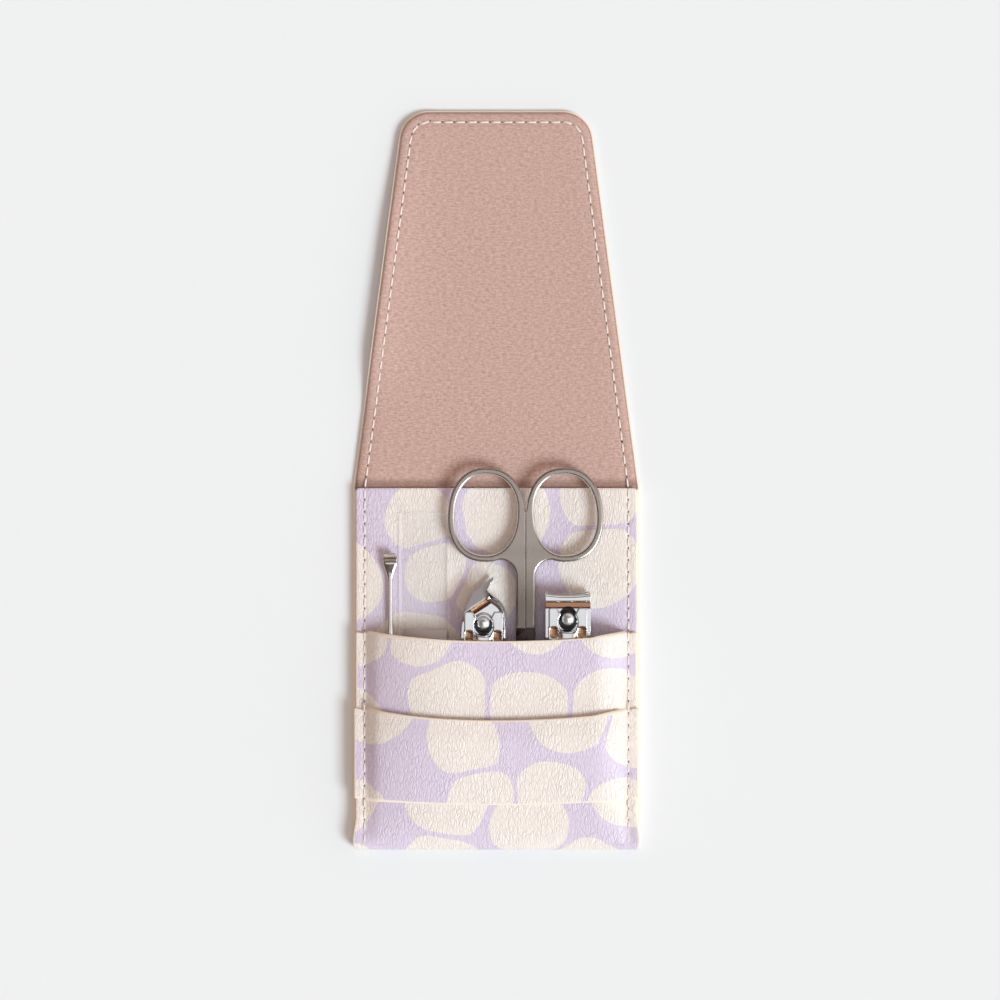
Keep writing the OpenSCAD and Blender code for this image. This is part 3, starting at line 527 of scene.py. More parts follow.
def pinch(depth):
    """How far the sewn layers are pulled in at a distance from the leather's edge."""
    return np.interp(depth / mm, *PINCH) * mm


def body_lining_inset(y):
    """The lining ends further in where the inner panel covers it."""
    return lining_inset + (hidden_inset - lining_inset) * min(1, max(0, (taper_y - y) / (1.2 * mm)))


def lining_faces(grid, depth):
    drop = np.interp(depth / mm, *LINING_DROP) * mm
    over = at_height(grid, lining_top - pinch(depth) - drop - 0.4 * rounding(depth - lining_inset))
    under = at_height(grid, np.where(depth < board_edge, shell_t + board_gap, lining_top - 0.5 * mm))
    return under, over


grid, depth = sheet_rows(back_point, back_rows, body_lining_inset)
under, over = lining_faces(grid, depth)
back_lining = grid_solid("back_lining_cloth", under, over, grid, [rose_canvas] * 3, depth - lining_inset)
bends_at(lower_crease, back_lining, "lining", "back_lining", "spine_lining")

lining_rows = [r if r > tip_r else lining_inset + r * (tip_r - lining_inset) / tip_r for r in flap_rows]
grid, depth = sheet_rows(flap_point, lining_rows, lining_inset)
under, over = lining_faces(grid, tip_depth(depth, lining_rows))
curl_up(grid, under, over)
flap_lining = grid_solid("flap_lining_cloth", under, over, grid, [rose_canvas] * 3,
                         tip_depth(depth, lining_rows) - lining_inset)
bends_at(upper_crease, flap_lining, "lining", "flap_lining", "spine_lining")


def stands_for(made, node_name):
    """Lets a piece ride on the body of the CAD node that it takes the place of."""
    body = next(b for b, names in frame["record"]["behaviour"]["bodies"].items() if node_name in names)
    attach(made, body)
    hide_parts(node_name)


# the board in the flap, bent as the flap is
board_low, board_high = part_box("flap_board")
board_inset = 1.2 * mm
board_rows = spread(tip_y - board_low.y, tip_r, coarse)
board_rows += [board_inset + r * (tip_r - board_inset) / tip_r for r in tip_rows[-2::-1]]
grid, depth = sheet_rows(flap_point, board_rows, board_inset)
curl = flap_curl(grid[..., 0], grid[..., 1])
grey_board, tree, shader = material("grey_board", Roughness=0.9)
fleck = noise(tree, None, 700.0, 3.0)
painted(shader, fleck.outputs[0], (0.30, 0.28, 0.26, 1), (0.40, 0.38, 0.35, 1))
under = at_height(grid, board_low.z + board_gap + curl)
over = at_height(grid, board_high.z - board_gap - pinch(depth) * 0.9 + curl)
flap_board = grid_solid("flap_board_sheet", under, over, grid, [grey_board] * 3)
stands_for(flap_board, "flap_board")

# ---- The inner panel ----
# A piece of the same printed leatherette that the tools lie on. It is sewn in at both sides,
# and its cut top edge ends where the sides begin to taper.

inner_print = printed_leather("inner_print", shift=(0.0617, 0.0412))
leather_back, tree, shader = material("leather_back", Roughness=0.9)
fleece = noise(tree, own_place(tree), 1400.0, 5.0, Roughness=0.7).outputs[0]
painted(shader, fleece, (0.60, 0.52, 0.46, 1), (0.78, 0.70, 0.62, 1))
bumped(shader, 0.5, 0.2 * mm, fleece)

panel_inset = case_half - panel_high.x
top_rows = [s * mm for s in (0, 0.06, 0.2, 0.45, 0.9, 1.6)]


def corner_cut(along, radius):
    """How far a rounded corner draws a side in, at a distance along from its end."""
    near = np.clip(radius - along, 0, radius)
    return radius - np.sqrt(radius ** 2 - near ** 2)


panel_rows = spread(fold_y, taper_y - 10 * mm, 1.8 * mm)[:-1]
panel_rows += spread(taper_y - 10 * mm, taper_y - 2 * mm, 0.8 * mm)
panel_rows += [taper_y - r for r in reversed(top_rows)]
grid, depth = sheet_rows(back_point, panel_rows, panel_inset, 40)
row_y = np.array(panel_rows)[:, None]
from_top = np.minimum(depth - panel_inset, taper_y - row_y)
# its top corners are cut round
round_in = corner_cut(taper_y - row_y, 1.1 * mm)
grid[..., 0] *= 1 - round_in / panel_high.x
down_to_shell = shell_t + 0.03 * mm
under_z = np.where(depth < 1.5 * mm, down_to_shell, panel_low.z - pinch(depth))
under = at_height(grid, under_z + rounding(from_top) * 0.5)
over = at_height(grid, panel_high.z - pinch(depth) - rounding(from_top))
inner_panel = grid_solid("inner_panel_leather", under, over, grid, [inner_print, leather_back, leather_core])
stands_for(inner_panel, "inner_panel")

# ---- The pocket ----
# The outer leather goes round the bottom fold and up over the tools. It is sewn down at both
# sides, stands up over the clippers, and its curved mouth is a plain cut edge.

pocket_print = printed_leather("pocket_print", shift=(0.0, 0.0))
tool_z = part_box("file_sleeve")[0].z
bulge_left, bulge_right = -11.7 * mm, 29.7 * mm
flat_x = case_half - seam_inset - 1.0 * mm
panel_half = panel_high.x
mouth_y, mouth_curve = -49.515 * mm, 2.4 * mm
mouth_rise, squareness = 8.8 * mm, 1.9
fold_out = fold_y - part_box("pocket_panel")[0].y
fold_in = fold_out - shell_t
fold_z = shell_t + fold_in
bare_rim = 0.36 * mm


def rise_across(x):
    """The share of the pocket's rise at x: none in its seams, all of it over the tools."""
    out = np.where(x < bulge_left, (bulge_left - x) / (bulge_left + flat_x),
                   np.where(x > bulge_right, (x - bulge_right) / (flat_x - bulge_right), 0.0))
    out = np.clip(out, 0, 1)
    swell = (1 - out ** squareness) ** (1 / squareness)
    # the leather leaves its seams gently
    left_soft = softly((x + flat_x + 1.2 * mm) / (5.0 * mm))
    right_soft = softly((flat_x + 1.2 * mm - x) / (4.0 * mm))
    return swell * np.minimum(left_soft, right_soft)


def rise_along(y):
    """How far the pocket has risen over its flat height on the way from the fold to its mouth."""
    return mouth_rise * np.clip((y - fold_y) / (mouth_y - fold_y), 0, 1) ** 0.55


def pocket_under(x, y):
    """The underside of the pocket, pulled down to the inner panel in the sewn margins."""
    depth = case_half - np.abs(x)
    return tool_z - pinch(depth) + rise_across(x) * rise_along(y)


def bowed_y(middle_y, curve, x):
    return middle_y + curve * (x / panel_half) ** 2


def skin_columns(half):
    """Columns across the pocket and the band, close together in the margins and at the slopes."""
    margin = [half - s * mm for s in (0, 0.06, 0.2, 0.45, 0.9)]
    inner = spread(half - 1.2 * mm, 20 * mm, 0.5 * mm)
    right = margin + inner + spread(20 * mm, 0, 1.0 * mm)[1:]
    return np.array([-x for x in right[:-1]] + right[::-1])


def grown(under, thickness, edge_depth):
    """The face a leather's thickness above a grid of points, with its cut edges rounded off."""
    dx, dy = np.gradient(under, axis=1), np.gradient(under, axis=0)
    normal = np.cross(dx, dy)
    normal /= np.linalg.norm(normal, axis=-1, keepdims=True)
    over = under + normal * (thickness - rounding(edge_depth))[..., None]
    return under + normal * (rounding(edge_depth) * 0.7)[..., None], over


columns = skin_columns(panel_half)
fold_turns = 14
share_steps = [(i / 70) ** 1.25 for i in range(1, 71)]
end_steps = [0.9, 0.45, 0.2, 0.06, 0]
rows_under, rows_flat = [], []
for i in range(fold_turns + 1):
    turn = -math.pi / 2 + math.pi * i / fold_turns
    z = fold_z + fold_in * math.sin(turn)
    lift = (1 + math.sin(turn)) / 2
    wide = (case_half - 0.75 * mm * math.cos(turn) ** 2) / panel_half
    y = fold_y - fold_in * math.cos(turn)
    rows_under.append([(x * wide, y, z - pinch(case_half - abs(x)) * lift * 0.5) for x in columns])
    rows_flat.append([(x * wide, fold_y - fold_out * (turn + math.pi / 2)) for x in columns])
flat_start = fold_y - fold_out * math.pi
mouth_line = bowed_y(mouth_y, mouth_curve, columns)
ends = [fold_y + s * (mouth_line - fold_y) for s in share_steps if s < 0.985]
ends += [mouth_line - e * mm for e in end_steps]
blend_z = 0.5 * pinch(case_half - np.abs(columns))
for y in ends:
    fade = np.clip((y - fold_y) / (6 * mm), 0, 1)
    z = pocket_under(columns, y) + blend_z * (1 - fade)
    # as wide as the back at the fold, trimmed narrower above, and cut round at the mouth
    side_y, side_mouth = y[0] - fold_y, mouth_line[0] - y[0]
    half = panel_half + (case_half - panel_half) * (1 - softly(side_y / (9 * mm)))
    half = half - corner_cut(side_mouth, 0.5 * mm)
    wide = columns * half / panel_half
    rows_under.append(np.column_stack([wide, y, z]).tolist())
    rows_flat.append(np.column_stack([wide, flat_start - (y - fold_y)]).tolist())
under = np.array(rows_under)
flat = np.array(rows_flat)
from_mouth = mouth_line - under[..., 1]
from_mouth[:fold_turns + 1] = 1     # the fold is far from any edge
edge_depth = np.minimum(panel_half - np.abs(columns), from_mouth)
under, over = grown(under, shell_t, edge_depth)
pocket_leather = grid_solid("pocket_leather", under, over, flat, [pocket_print, leather_back, leather_core],
                            edge_depth, bare=bare_rim)
stands_for(pocket_leather, "pocket_panel")

# ---- The closure band ----
# A strap of the same leatherette across the pocket, sewn in at both sides. It lies on the pocket
# along its lower edge and stands off it along its upper edge, where the flap is tucked in.

band_print = printed_leather("band_print", shift=(0.131, 0.083))
bottom_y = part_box("pocket_panel")[0].y
band_low_y, band_low_curve = bottom_y + 14.7 * mm, 1.7 * mm
band_top_y, band_top_curve = bottom_y + 40.9 * mm, 3.1 * mm
band_slot, band_rest = 1.9 * mm, 0.4 * mm
band_t = 1.1 * mm
band_half = case_half - 0.55 * mm
columns = skin_columns(band_half)
low_line = bowed_y(band_low_y, band_low_curve, columns)
top_line = bowed_y(band_top_y, band_top_curve, columns)
margins = np.array(end_steps[::-1]) * mm
shares = np.linspace(0, 1, 40)[1:-1]
inner_low, inner_high = low_line + 1.2 * mm, top_line - 1.2 * mm
lines = [low_line + m for m in margins] + [inner_low + (inner_high - inner_low) * s for s in shares]
lines += [top_line - m for m in margins[::-1]]
rows_under, edge_rows = [], []
for y in lines:
    share = (y - low_line) / (top_line - low_line)
    stand_off = (band_rest + (band_slot - band_rest) * share) * (1 - 0.42 * softly((share - 0.72) / 0.28))
    stand_off = stand_off * np.minimum(1, 2 * rise_across(columns))
    z = pocket_under(columns, y) + shell_t * 0.96 + stand_off - 0.3 * pinch(case_half - np.abs(columns))
    trim = corner_cut(top_line[0] - y[0], 0.4 * mm) + corner_cut(y[0] - low_line[0], 0.4 * mm)
    rows_under.append(np.column_stack([columns * (1 - trim / band_half), y, z]))
    edge_rows.append(np.minimum(np.minimum(y - low_line, top_line - y), band_half - np.abs(columns)))
edge_depth = np.array(edge_rows)
under, over = grown(np.array(rows_under), band_t, edge_depth)
closure_band = grid_solid("closure_band_leather", under, over, under[..., :2].copy(),
                          [band_print, leather_back, leather_core], edge_depth, bare=bare_rim)
stands_for(closure_band, "closure_band")

# ---- The stitching ----
# One row of cream thread up each side and round the flap, with a needle hole between every two
# stitches. The thread shows on the inner and the outer face, in the groove that it pulls.

stitch_pitch, stitch_len, thread_r = 3.7 * mm, 2.95 * mm, 0.26 * mm

cream_thread, tree, shader = material("cream_thread", Roughness=0.7)
sockets_set(shader, {"Sheen Weight": 0.2})
strands = node(tree, "ShaderNodeTexWave", {"Vector": own_place(tree), "Scale": 900.0, "Distortion": 1.5},
               bands_direction="DIAGONAL").outputs[0]
painted(shader, strands, (0.71, 0.62, 0.555, 1), (0.85, 0.775, 0.71, 1))
bumped(shader, 0.4, 0.06 * mm, strands)

# painted shade: the needle holes' pits are coloured dark for the shade inside them
needle_hole, tree, shader = material("needle_hole", Roughness=0.95)
painted(shader, noise(tree, None, 3000.0).outputs[0], (0.16, 0.11, 0.095, 1), (0.28, 0.20, 0.17, 1))


def loose_object(name, vertices, faces):
    mesh = bpy.data.meshes.new(name)
    mesh.from_pydata(vertices, [] if faces else [(i, i + 1) for i in range(len(vertices) - 1)], faces or [])
    smooth(mesh)
    return placed(name, mesh)


def ring_faces(first, rings, sides):
    """The faces between rings of points that follow on one another."""
    return [(a + k, a + (k + 1) % sides, a + sides + (k + 1) % sides, a + sides + k)
            for a in range(first, first + (rings - 1) * sides, sides) for k in range(sides)]


def thread_length():
    """One stitch: thread that comes up out of a hole, lies along the seam and goes down again."""
    sides, parts = 6, 8
    points = []
    for i in range(parts + 1):
        t = i / parts * 2 - 1
        dip = -2.2 * thread_r * abs(t) ** 5
        thick = thread_r * (1 - 0.25 * abs(t) ** 4)
        for k in range(sides):
            a = 2 * math.pi * k / sides
            points.append((thick * 1.15 * math.cos(a), t * stitch_len / 2, dip + thick * 0.85 * math.sin(a)))
    faces = ring_faces(0, parts + 1, sides)
    faces += [tuple(range(sides)), tuple(range(parts * sides + sides - 1, parts * sides - 1, -1))]
    made = loose_object("thread_length", points, faces)
    bm = bmesh.new()
    bm.from_mesh(made.data)
    bmesh.ops.recalc_face_normals(bm, faces=bm.faces)
    bm.to_mesh(made.data)
    bm.free()
    return made


def hole_disc():
    """The pit of a needle hole, half a stitch further on."""
    sides = 10
    rim = [(0.27 * mm * math.cos(a), stitch_pitch / 2 + 0.40 * mm * math.sin(a), -0.16 * mm)
           for a in (2 * math.pi * k / sides for k in range(sides))]
    base = [(x * 0.9, y, -0.26 * mm) for x, y, _ in rim]
    faces = [tuple(range(sides)), tuple(range(2 * sides - 1, sides - 1, -1))]
    faces += [(k, k + sides, (k + 1) % sides + sides, (k + 1) % sides) for k in range(sides)]
    return loose_object("hole_disc", rim + base, faces)


stitch_row = bpy.data.node_groups.new("stitch_row", "GeometryNodeTree")
for key, kind in (("Geometry", "NodeSocketGeometry"), ("Pitch", FLOAT), ("Thread", "NodeSocketObject"),
                  ("Hole", "NodeSocketObject"), ("Thread finish", "NodeSocketMaterial"),
                  ("Hole finish", "NodeSocketMaterial")):
    stitch_row.interface.new_socket(key, in_out="INPUT", socket_type=kind)
stitch_row.interface.new_socket("Geometry", in_out="OUTPUT", socket_type="NodeSocketGeometry")
given = stitch_row.nodes.new("NodeGroupInput").outputs
line = node(stitch_row, "GeometryNodeMeshToCurve", {"Mesh": given["Geometry"]})
spaced = node(stitch_row, "GeometryNodeResampleCurve", {"Curve": line.outputs[0], "Length": given["Pitch"]},
              mode="LENGTH")
heading = node(stitch_row, "FunctionNodeAlignRotationToVector", {
    "Vector": node(stitch_row, "GeometryNodeInputTangent").outputs[0]}, axis="Y", pivot_axis="Z")
laid = []
for key in ("Thread", "Hole"):
    shape = node(stitch_row, "GeometryNodeObjectInfo", {"Object": given[key]})
    at_points = node(stitch_row, "GeometryNodeInstanceOnPoints", {
        "Points": spaced.outputs[0], "Instance": shape.outputs["Geometry"], "Rotation": heading.outputs[0]})
    real = node(stitch_row, "GeometryNodeRealizeInstances", {0: at_points.outputs[0]})
    finished = node(stitch_row, "GeometryNodeSetMaterial", {
        "Geometry": real.outputs[0], "Material": given[key + " finish"]})
    laid.append(finished.outputs[0])
joined = node(stitch_row, "GeometryNodeJoinGeometry")
for item in reversed(laid):
    stitch_row.links.new(item, joined.inputs[0])
node(stitch_row, "NodeGroupOutput", {0: joined.outputs[0]})
stitch_inputs = {item.name: item.identifier for item in stitch_row.interface.items_tree
                 if item.in_out == "INPUT"}

thread_shape, hole_shape = thread_length(), hole_disc()


def sewn_rows(name, paths, face_down=False):
    """Stitches along each path, as one plain mesh. A path is the points of the seam's groove."""
    parts = []
    for path in paths:
        if face_down:
            path = [(x, y, -z) for x, y, z in path]
        seam = loose_object(name + "_path", path, None)
        rows = seam.modifiers.new("rows", "NODES")
        rows.node_group = stitch_row
        for key, value in (("Pitch", stitch_pitch), ("Thread", thread_shape), ("Hole", hole_shape),
                           ("Thread finish", cream_thread), ("Hole finish", needle_hole)):
            rows[stitch_inputs[key]] = value
        shown = seam.evaluated_get(bpy.context.evaluated_depsgraph_get())
        mesh = bpy.data.meshes.new_from_object(shown)
        bpy.data.objects.remove(seam)
        parts.append(mesh)
    bm = bmesh.new()
    for part in parts:
        bm.from_mesh(part)
    if face_down:
        for v in bm.verts:
            v.co.z = -v.co.z
        bmesh.ops.reverse_faces(bm, faces=bm.faces)
    mesh = bpy.data.meshes.new(name)
    bm.to_mesh(mesh)
    bm.free()
    for finish in parts[0].materials:
        mesh.materials.append(finish)
    for part in parts:
        bpy.data.meshes.remove(part)
    return placed(name, mesh)


groove = 0.28 * mm


def seam_top(x, y):
    """The top of the layers in the groove of a side seam."""
    if y > taper_y:
        return lining_top - groove
    if y > bowed_y(mouth_y, mouth_curve, x):
        return panel_high.z - groove
    pocket = tool_z + shell_t - groove
    if bowed_y(band_low_y, band_low_curve, x) < y < bowed_y(band_top_y, band_top_curve, x):
        return pocket + band_t - 0.1 * mm
    return pocket


def side_path(side, y0, y1):
    points = []
    for y in spread(y0, y1, 0.6 * mm):
        x, _ = back_point(side, seam_inset, y)
        top = max(seam_top(x, y - stitch_len / 2), seam_top(x, y + stitch_len / 2))
        points.append((x, y, top + thread_r * 0.8))
    return points


def flap_path(side, z, start):
    """From the spine up one side of the flap to the middle of its tip, or down again."""
    downs = spread(tip_y - start, tip_r, 1.5 * mm)
    points = [flap_point(side, seam_inset, d) for d in downs]
    row_r = tip_r - seam_inset
    for turn in np.linspace(taper, math.pi / 2, 13)[1:]:
        points.append((side * (corner_x + row_r * math.cos(turn)), tip_y - tip_r + row_r * math.sin(turn)))
    points.append((0, tip_y - seam_inset))
    return [(x, y, z + flap_curl(x, y)) for x, y in points]


def round_flap(z, start):
    left, right = flap_path(-1, z, start), flap_path(1, z, start)
    return left + right[-2::-1]


seam_low_y, half_pitch = fold_y + stitch_pitch * 0.4, stitch_pitch / 2
side_paths = [side_path(side, seam_low_y, spine_middle - half_pitch) for side in (-1, 1)]
for path, name in zip(side_paths, ("left", "right")):
    row = sewn_rows(name + "_seam_thread", [path])
    bends_at(lower_crease, row, "thread", name + "_seam_stitching", "spine_stitching")
flap_thread = sewn_rows("flap_seam_thread",
                        [round_flap(lining_top - groove + thread_r * 0.8, spine_middle + half_pitch)])
bends_at(upper_crease, flap_thread, "thread", "flap_stitching")

outer_z = 0.24 * mm
outer_sides = [[(x, y, outer_z) for x, y, _ in path] for path in side_paths]
bends_at(lower_crease, sewn_rows("outer_seam_thread", outer_sides, True), "thread")
outer_flap = [round_flap(outer_z, spine_middle + half_pitch)]
bends_at(upper_crease, sewn_rows("outer_flap_thread", outer_flap, True), "thread")
for shape in (thread_shape, hole_shape):
    bpy.data.objects.remove(shape)

# ---- The scissors ----
# Nail scissors of satin stainless steel: two halves pressed and ground to shape, each a finger
# ring on a straight shank, lapped on a screw below and running into the blades in the pocket.

brushed, given, out = group_tree(
    "brushed", {"Stretch": (VECTOR, (1.0, 1.0, 1.0)), "Size": (FLOAT, 0.3 * mm)}, {"Streak": FLOAT})
stretched = vector_maths("MULTIPLY", own_place(brushed), given["Stretch"])
streaks = noise(brushed, in_steps_of(stretched, given["Size"]), 1.0, 3.0)
sockets_set(out, {"Streak": streaks.outputs[0]})


def metal(name, colour, roughness, vary, stretch, size=0.3 * mm, depth=0.03, darker_along=None):
    """Metal with fine streaks. Given two places along Y, its colour is darker at the first and brightens up
    to the second.
    """
    made, tree, shader = material(name, Metallic=1.0)
    lines = node(tree, "ShaderNodeGroup", node_tree=brushed)
    sockets_set(lines, {"Stretch": stretch, "Size": size})
    darker = tuple(c * 0.88 for c in colour)
    shade = mixed(lines.outputs["Streak"], (*darker, 1), (*colour, 1))
    if darker_along:
        dark = eased(own_axes(tree)["Y"], *darker_along, 1.0, 0.0)
        shade = mixed(dark, shade, (0.50, 0.475, 0.46, 1), "MULTIPLY")
    tree.links.new(shade, shader.inputs["Base Color"])
    tree.links.new(eased(lines.outputs["Streak"], 0.3, 0.7, roughness, roughness + vary),
                   shader.inputs["Roughness"])
    bumped(shader, depth, 0.05 * mm, lines.outputs["Streak"])
    return made


weld_reach = 0.002 * mm


def rounded_copy(node_name, name, finish, width, below=None):
    """A CAD piece, or its part below a height along Y, with its sharp edges rounded over."""
    bm = bmesh.new()
    bm.from_mesh(frame["nodes"][node_name].data)
    bmesh.ops.remove_doubles(bm, verts=bm.verts, dist=weld_reach)
    if below is not None:
        cut = bmesh.ops.bisect_plane(bm, geom=bm.verts[:] + bm.edges[:] + bm.faces[:], plane_co=(0, below, 0),
                                     plane_no=(0, 1, 0), clear_outer=True)["geom_cut"]
        bmesh.ops.edgenet_fill(bm, edges=[e for e in cut if isinstance(e, bmesh.types.BMEdge)])
        bmesh.ops.recalc_face_normals(bm, faces=bm.faces)
    bmesh.ops.dissolve_limit(bm, angle_limit=math.radians(0.8), verts=bm.verts, edges=bm.edges)
    mesh = bpy.data.meshes.new(name)
    bm.to_mesh(mesh)
    bm.free()
    smooth(mesh)
    mesh.materials.clear()
    mesh.materials.append(finish)
    made = placed(name, mesh)
    bevel = made.modifiers.new("rounded", "BEVEL")
    bevel.width, bevel.segments = width, 3
    bevel.limit_method, bevel.angle_limit = "ANGLE", math.radians(25)
    bevel.harden_normals = bevel.use_clamp_overlap = True
    return made


def cad_section(node_name, height):
    """The outline of a CAD piece at a height, in mm against the clock, then its holes the other way.
    Each loop starts at its topmost point, whichever point it was found from."""
    bm = bmesh.new()
    bm.from_mesh(frame["nodes"][node_name].data)
    bmesh.ops.remove_doubles(bm, verts=bm.verts, dist=weld_reach)
    bmesh.ops.bisect_plane(bm, geom=bm.verts[:] + bm.edges[:] + bm.faces[:], plane_co=(0, 0, height),
                           plane_no=(0, 0, 1), clear_inner=True, clear_outer=True)
    loops, left = [], set(bm.verts)
    while left:
        at, loop = left.pop(), []
        while at is not None:
            loop.append((at.co.x / mm, at.co.y / mm))
            at = next((v for e in at.link_edges for v in e.verts if v in left), None)
            left.discard(at)
        loops.append(np.array(loop))
    bm.free()

    def area(loop):
        after = np.roll(loop, -1, 0)
        return np.sum(loop[:, 0] * after[:, 1] - after[:, 0] * loop[:, 1]) / 2

    loops.sort(key=lambda loop: -abs(area(loop)))
    turned = [loop if (area(loop) > 0) == (i == 0) else loop[::-1] for i, loop in enumerate(loops)]
    return [np.roll(loop, -np.lexsort(loop.T)[-1], 0) for loop in turned]


def evenly(loop, step):
    """A closed outline at even steps, with its facets smoothed away."""
    ring = np.vstack([loop, loop[:1]])
    run = np.concatenate([[0], np.cumsum(np.linalg.norm(np.diff(ring, axis=0), axis=1))])
    at = np.linspace(0, run[-1], max(8, round(run[-1] / step)), endpoint=False)
    points = np.column_stack([np.interp(at, run, ring[:, k]) for k in (0, 1)])
    return (np.roll(points, 1, 0) + 2 * points + np.roll(points, -1, 0)) / 4


def inset_by(loop, distance):
    ahead = np.roll(loop, -1, 0) - np.roll(loop, 1, 0)
    ahead /= np.linalg.norm(ahead, axis=1, keepdims=True)
    return loop + np.column_stack([-ahead[:, 1], ahead[:, 0]]) * np.reshape(distance, (-1, 1))


def within(points, loops):
    """Which points lie inside the outline and outside its holes."""
    odd = np.zeros(len(points), bool)
    x, y = points[:, :1], points[:, 1:]
    for loop in loops:
        a, b = loop, np.roll(loop, -1, 0)
        crosses = (a[:, 0] > x) != (b[:, 0] > x)
        run = np.where(a[:, 0] == b[:, 0], 1, b[:, 0] - a[:, 0])
        level = a[:, 1] + (x - a[:, 0]) * (b[:, 1] - a[:, 1]) / run
        odd ^= np.sum(crosses & (y < level), axis=1) % 2 == 1
    return odd


def from_line(line, x, y):
    """Distance of each point from a line through points."""
    place, best = np.column_stack([np.ravel(x), np.ravel(y)]), np.inf
    for a, b in zip(np.array(line)[:-1], np.array(line)[1:]):
        share = np.clip((place - a) @ (b - a) / ((b - a) @ (b - a)), 0, 1)
        best = np.minimum(best, np.hypot(*(place - a - share[:, None] * (b - a)).T))
    return best


def pressed_plate(name, at, loops, top, base, edge, columns, rows, finishes, pick=None):
    """A closed plate with rolled edges, in mm from `at`. loops: its outline against the clock, then
    its holes the other way. top, base, edge: heights and the edge's radius at x, y. columns, rows:
    where its faces are divided. pick: the number of the finish at x, y, z."""
    vertices, faces, inner, starts = [], [], [], []
    for loop in loops:
        radius, size, start = edge(*loop.T), len(loop), sum(map(len, vertices))
        for height, up, turns in ((base, -1, (90, 60, 30, 0)), (top, 1, (0, 30, 60, 90))):
            for turn in turns:
                turn = math.radians(turn)
                around = inset_by(loop, radius * (1 - math.cos(turn)))
                level = height(*around.T) - up * radius * (1 - math.sin(turn))
                vertices.append(np.column_stack([around, level]))
        faces += ring_faces(start, 8, size)
        inner.append(around)
        starts.append((start, start + 7 * size))
    cap = np.vstack(inner)
    fill = np.stack(np.meshgrid(columns, rows), -1).reshape(-1, 2)
    fill = fill[within(fill, inner)]
    clear = [np.min(np.hypot(*(cap - p).T)) > 0.14 for p in fill]
    fill = fill[clear]
    borders, first = [], 0
    for around in inner:
        borders += [(first + i, first + (i + 1) % len(around)) for i in range(len(around))]
        first += len(around)
    flat, _, triangles, source = delaunay_2d_cdt(
        [Vector(p) for p in np.vstack([cap, fill])], borders, [], 1, 1e-6, True)[:4]
    flat = np.array([tuple(p) for p in flat])
    triangles = np.array(triangles)
    triangles = triangles[within(flat[triangles].mean(1), inner)]
    for side, (height, turned) in enumerate(((base, True), (top, False))):
        rim = np.concatenate([np.arange(len(around)) + start[side] for around, start in zip(inner, starts)])
        first_new, number, fresh = sum(map(len, vertices)), [], []
        for k, given_by in enumerate(source):
            if given_by and given_by[0] < len(cap):
                number.append(rim[given_by[0]])
            else:
                number.append(first_new + len(fresh))
                fresh.append(flat[k])
        fresh = np.array(fresh).reshape(-1, 2)
        vertices.append(np.column_stack([fresh, height(*fresh.T)]))
        number = np.array(number)
        faces += [tuple(t[::-1] if turned else t) for t in number[triangles].tolist()]
    points = np.vstack(vertices)
    mesh = bpy.data.meshes.new(name)
    mesh.from_pydata(((points + np.array(at)) * mm).tolist(), [], faces)
    for finish in finishes:
        mesh.materials.append(finish)
    if pick:
        middles = np.array([points[list(face)].mean(0) for face in faces])
        mesh.polygons.foreach_set("material_index", pick(*middles.T).astype(np.int32))
    smooth(mesh)
    mesh.update()
    return placed(name, mesh)


# the colour darkens down the shank towards its lower end
satin_steel = metal("satin_steel", (0.455, 0.388, 0.348), 0.24, 0.10, (1.0, 0.10, 1.0),
                    darker_along=(-40 * mm, -22 * mm))
rubbed_steel = metal("rubbed_steel", (0.80, 0.76, 0.72), 0.10, 0.06, (1.0, 1.0, 1.0))
# painted shade: the lapped blades are coloured near black for the shade they lie in
blade_steel = metal("blade_steel", (0.085, 0.065, 0.06), 0.34, 0.10, (1.0, 0.10, 1.0))
screw_low, screw_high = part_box("scissors_screw")
centre_x, screw_y = ((screw_low + screw_high) / 2).xy / mm
steel_low, steel_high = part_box("scissors_left_half")
steel_middle, shank_t, ring_t = (steel_low.z + steel_high.z) / 2 / mm, 3.06, 2.2
lap_y, ring_low_y = screw_y + 8.4, screw_y + 29.6


def half_thick(y):
    return (shank_t + (ring_t - shank_t) * softly((y - ring_low_y + 1) / 7)) / 2


def handle_edge(x, y):
    """How far the edges are rolled: little where the halves meet, and least at the lapped lower end."""
    rolled = 0.15 + 0.47 * softly((abs(x - centre_x) - 0.15) / 1.2)
    return rolled * (0.2 + 0.8 * softly((y - lap_y - 0.15) / 0.9))


for side in ("left", "right"):
    half = "scissors_%s_half" % side
    loops = [evenly(loop, 0.3) for loop in cad_section(half, steel_middle * mm)]
    low, high = loops[0].min(0), loops[0].max(0)
    ring_inside = np.vstack([loops[1], loops[1][:1]])
    handle = pressed_plate(
        half + "_handle", (0, 0, steel_middle), loops,
        lambda x, y: half_thick(y), lambda x, y: -half_thick(y), handle_edge,
        np.arange(low[0], high[0], 0.45), np.arange(low[1], high[1], 0.6), [satin_steel, rubbed_steel],
        lambda x, y, z: np.where(from_line(ring_inside, x, y) < 0.42, 1, 0))
    stands_for(handle, half)
    blade = rounded_copy(half, half + "_blade", blade_steel, 0.12 * mm, below=(lap_y + 0.3) * mm)
    stands_for(blade, half)
stands_for(rounded_copy("scissors_screw", "scissors_screw_steel", satin_steel, 0.15 * mm), "scissors_screw")

# ---- The two clippers ----
# Nail clippers of plated steel: two sprung arms riveted at the rear with their front edges bent
# together, and a pin through both that holds the lever in its fork. The lever has two windows.

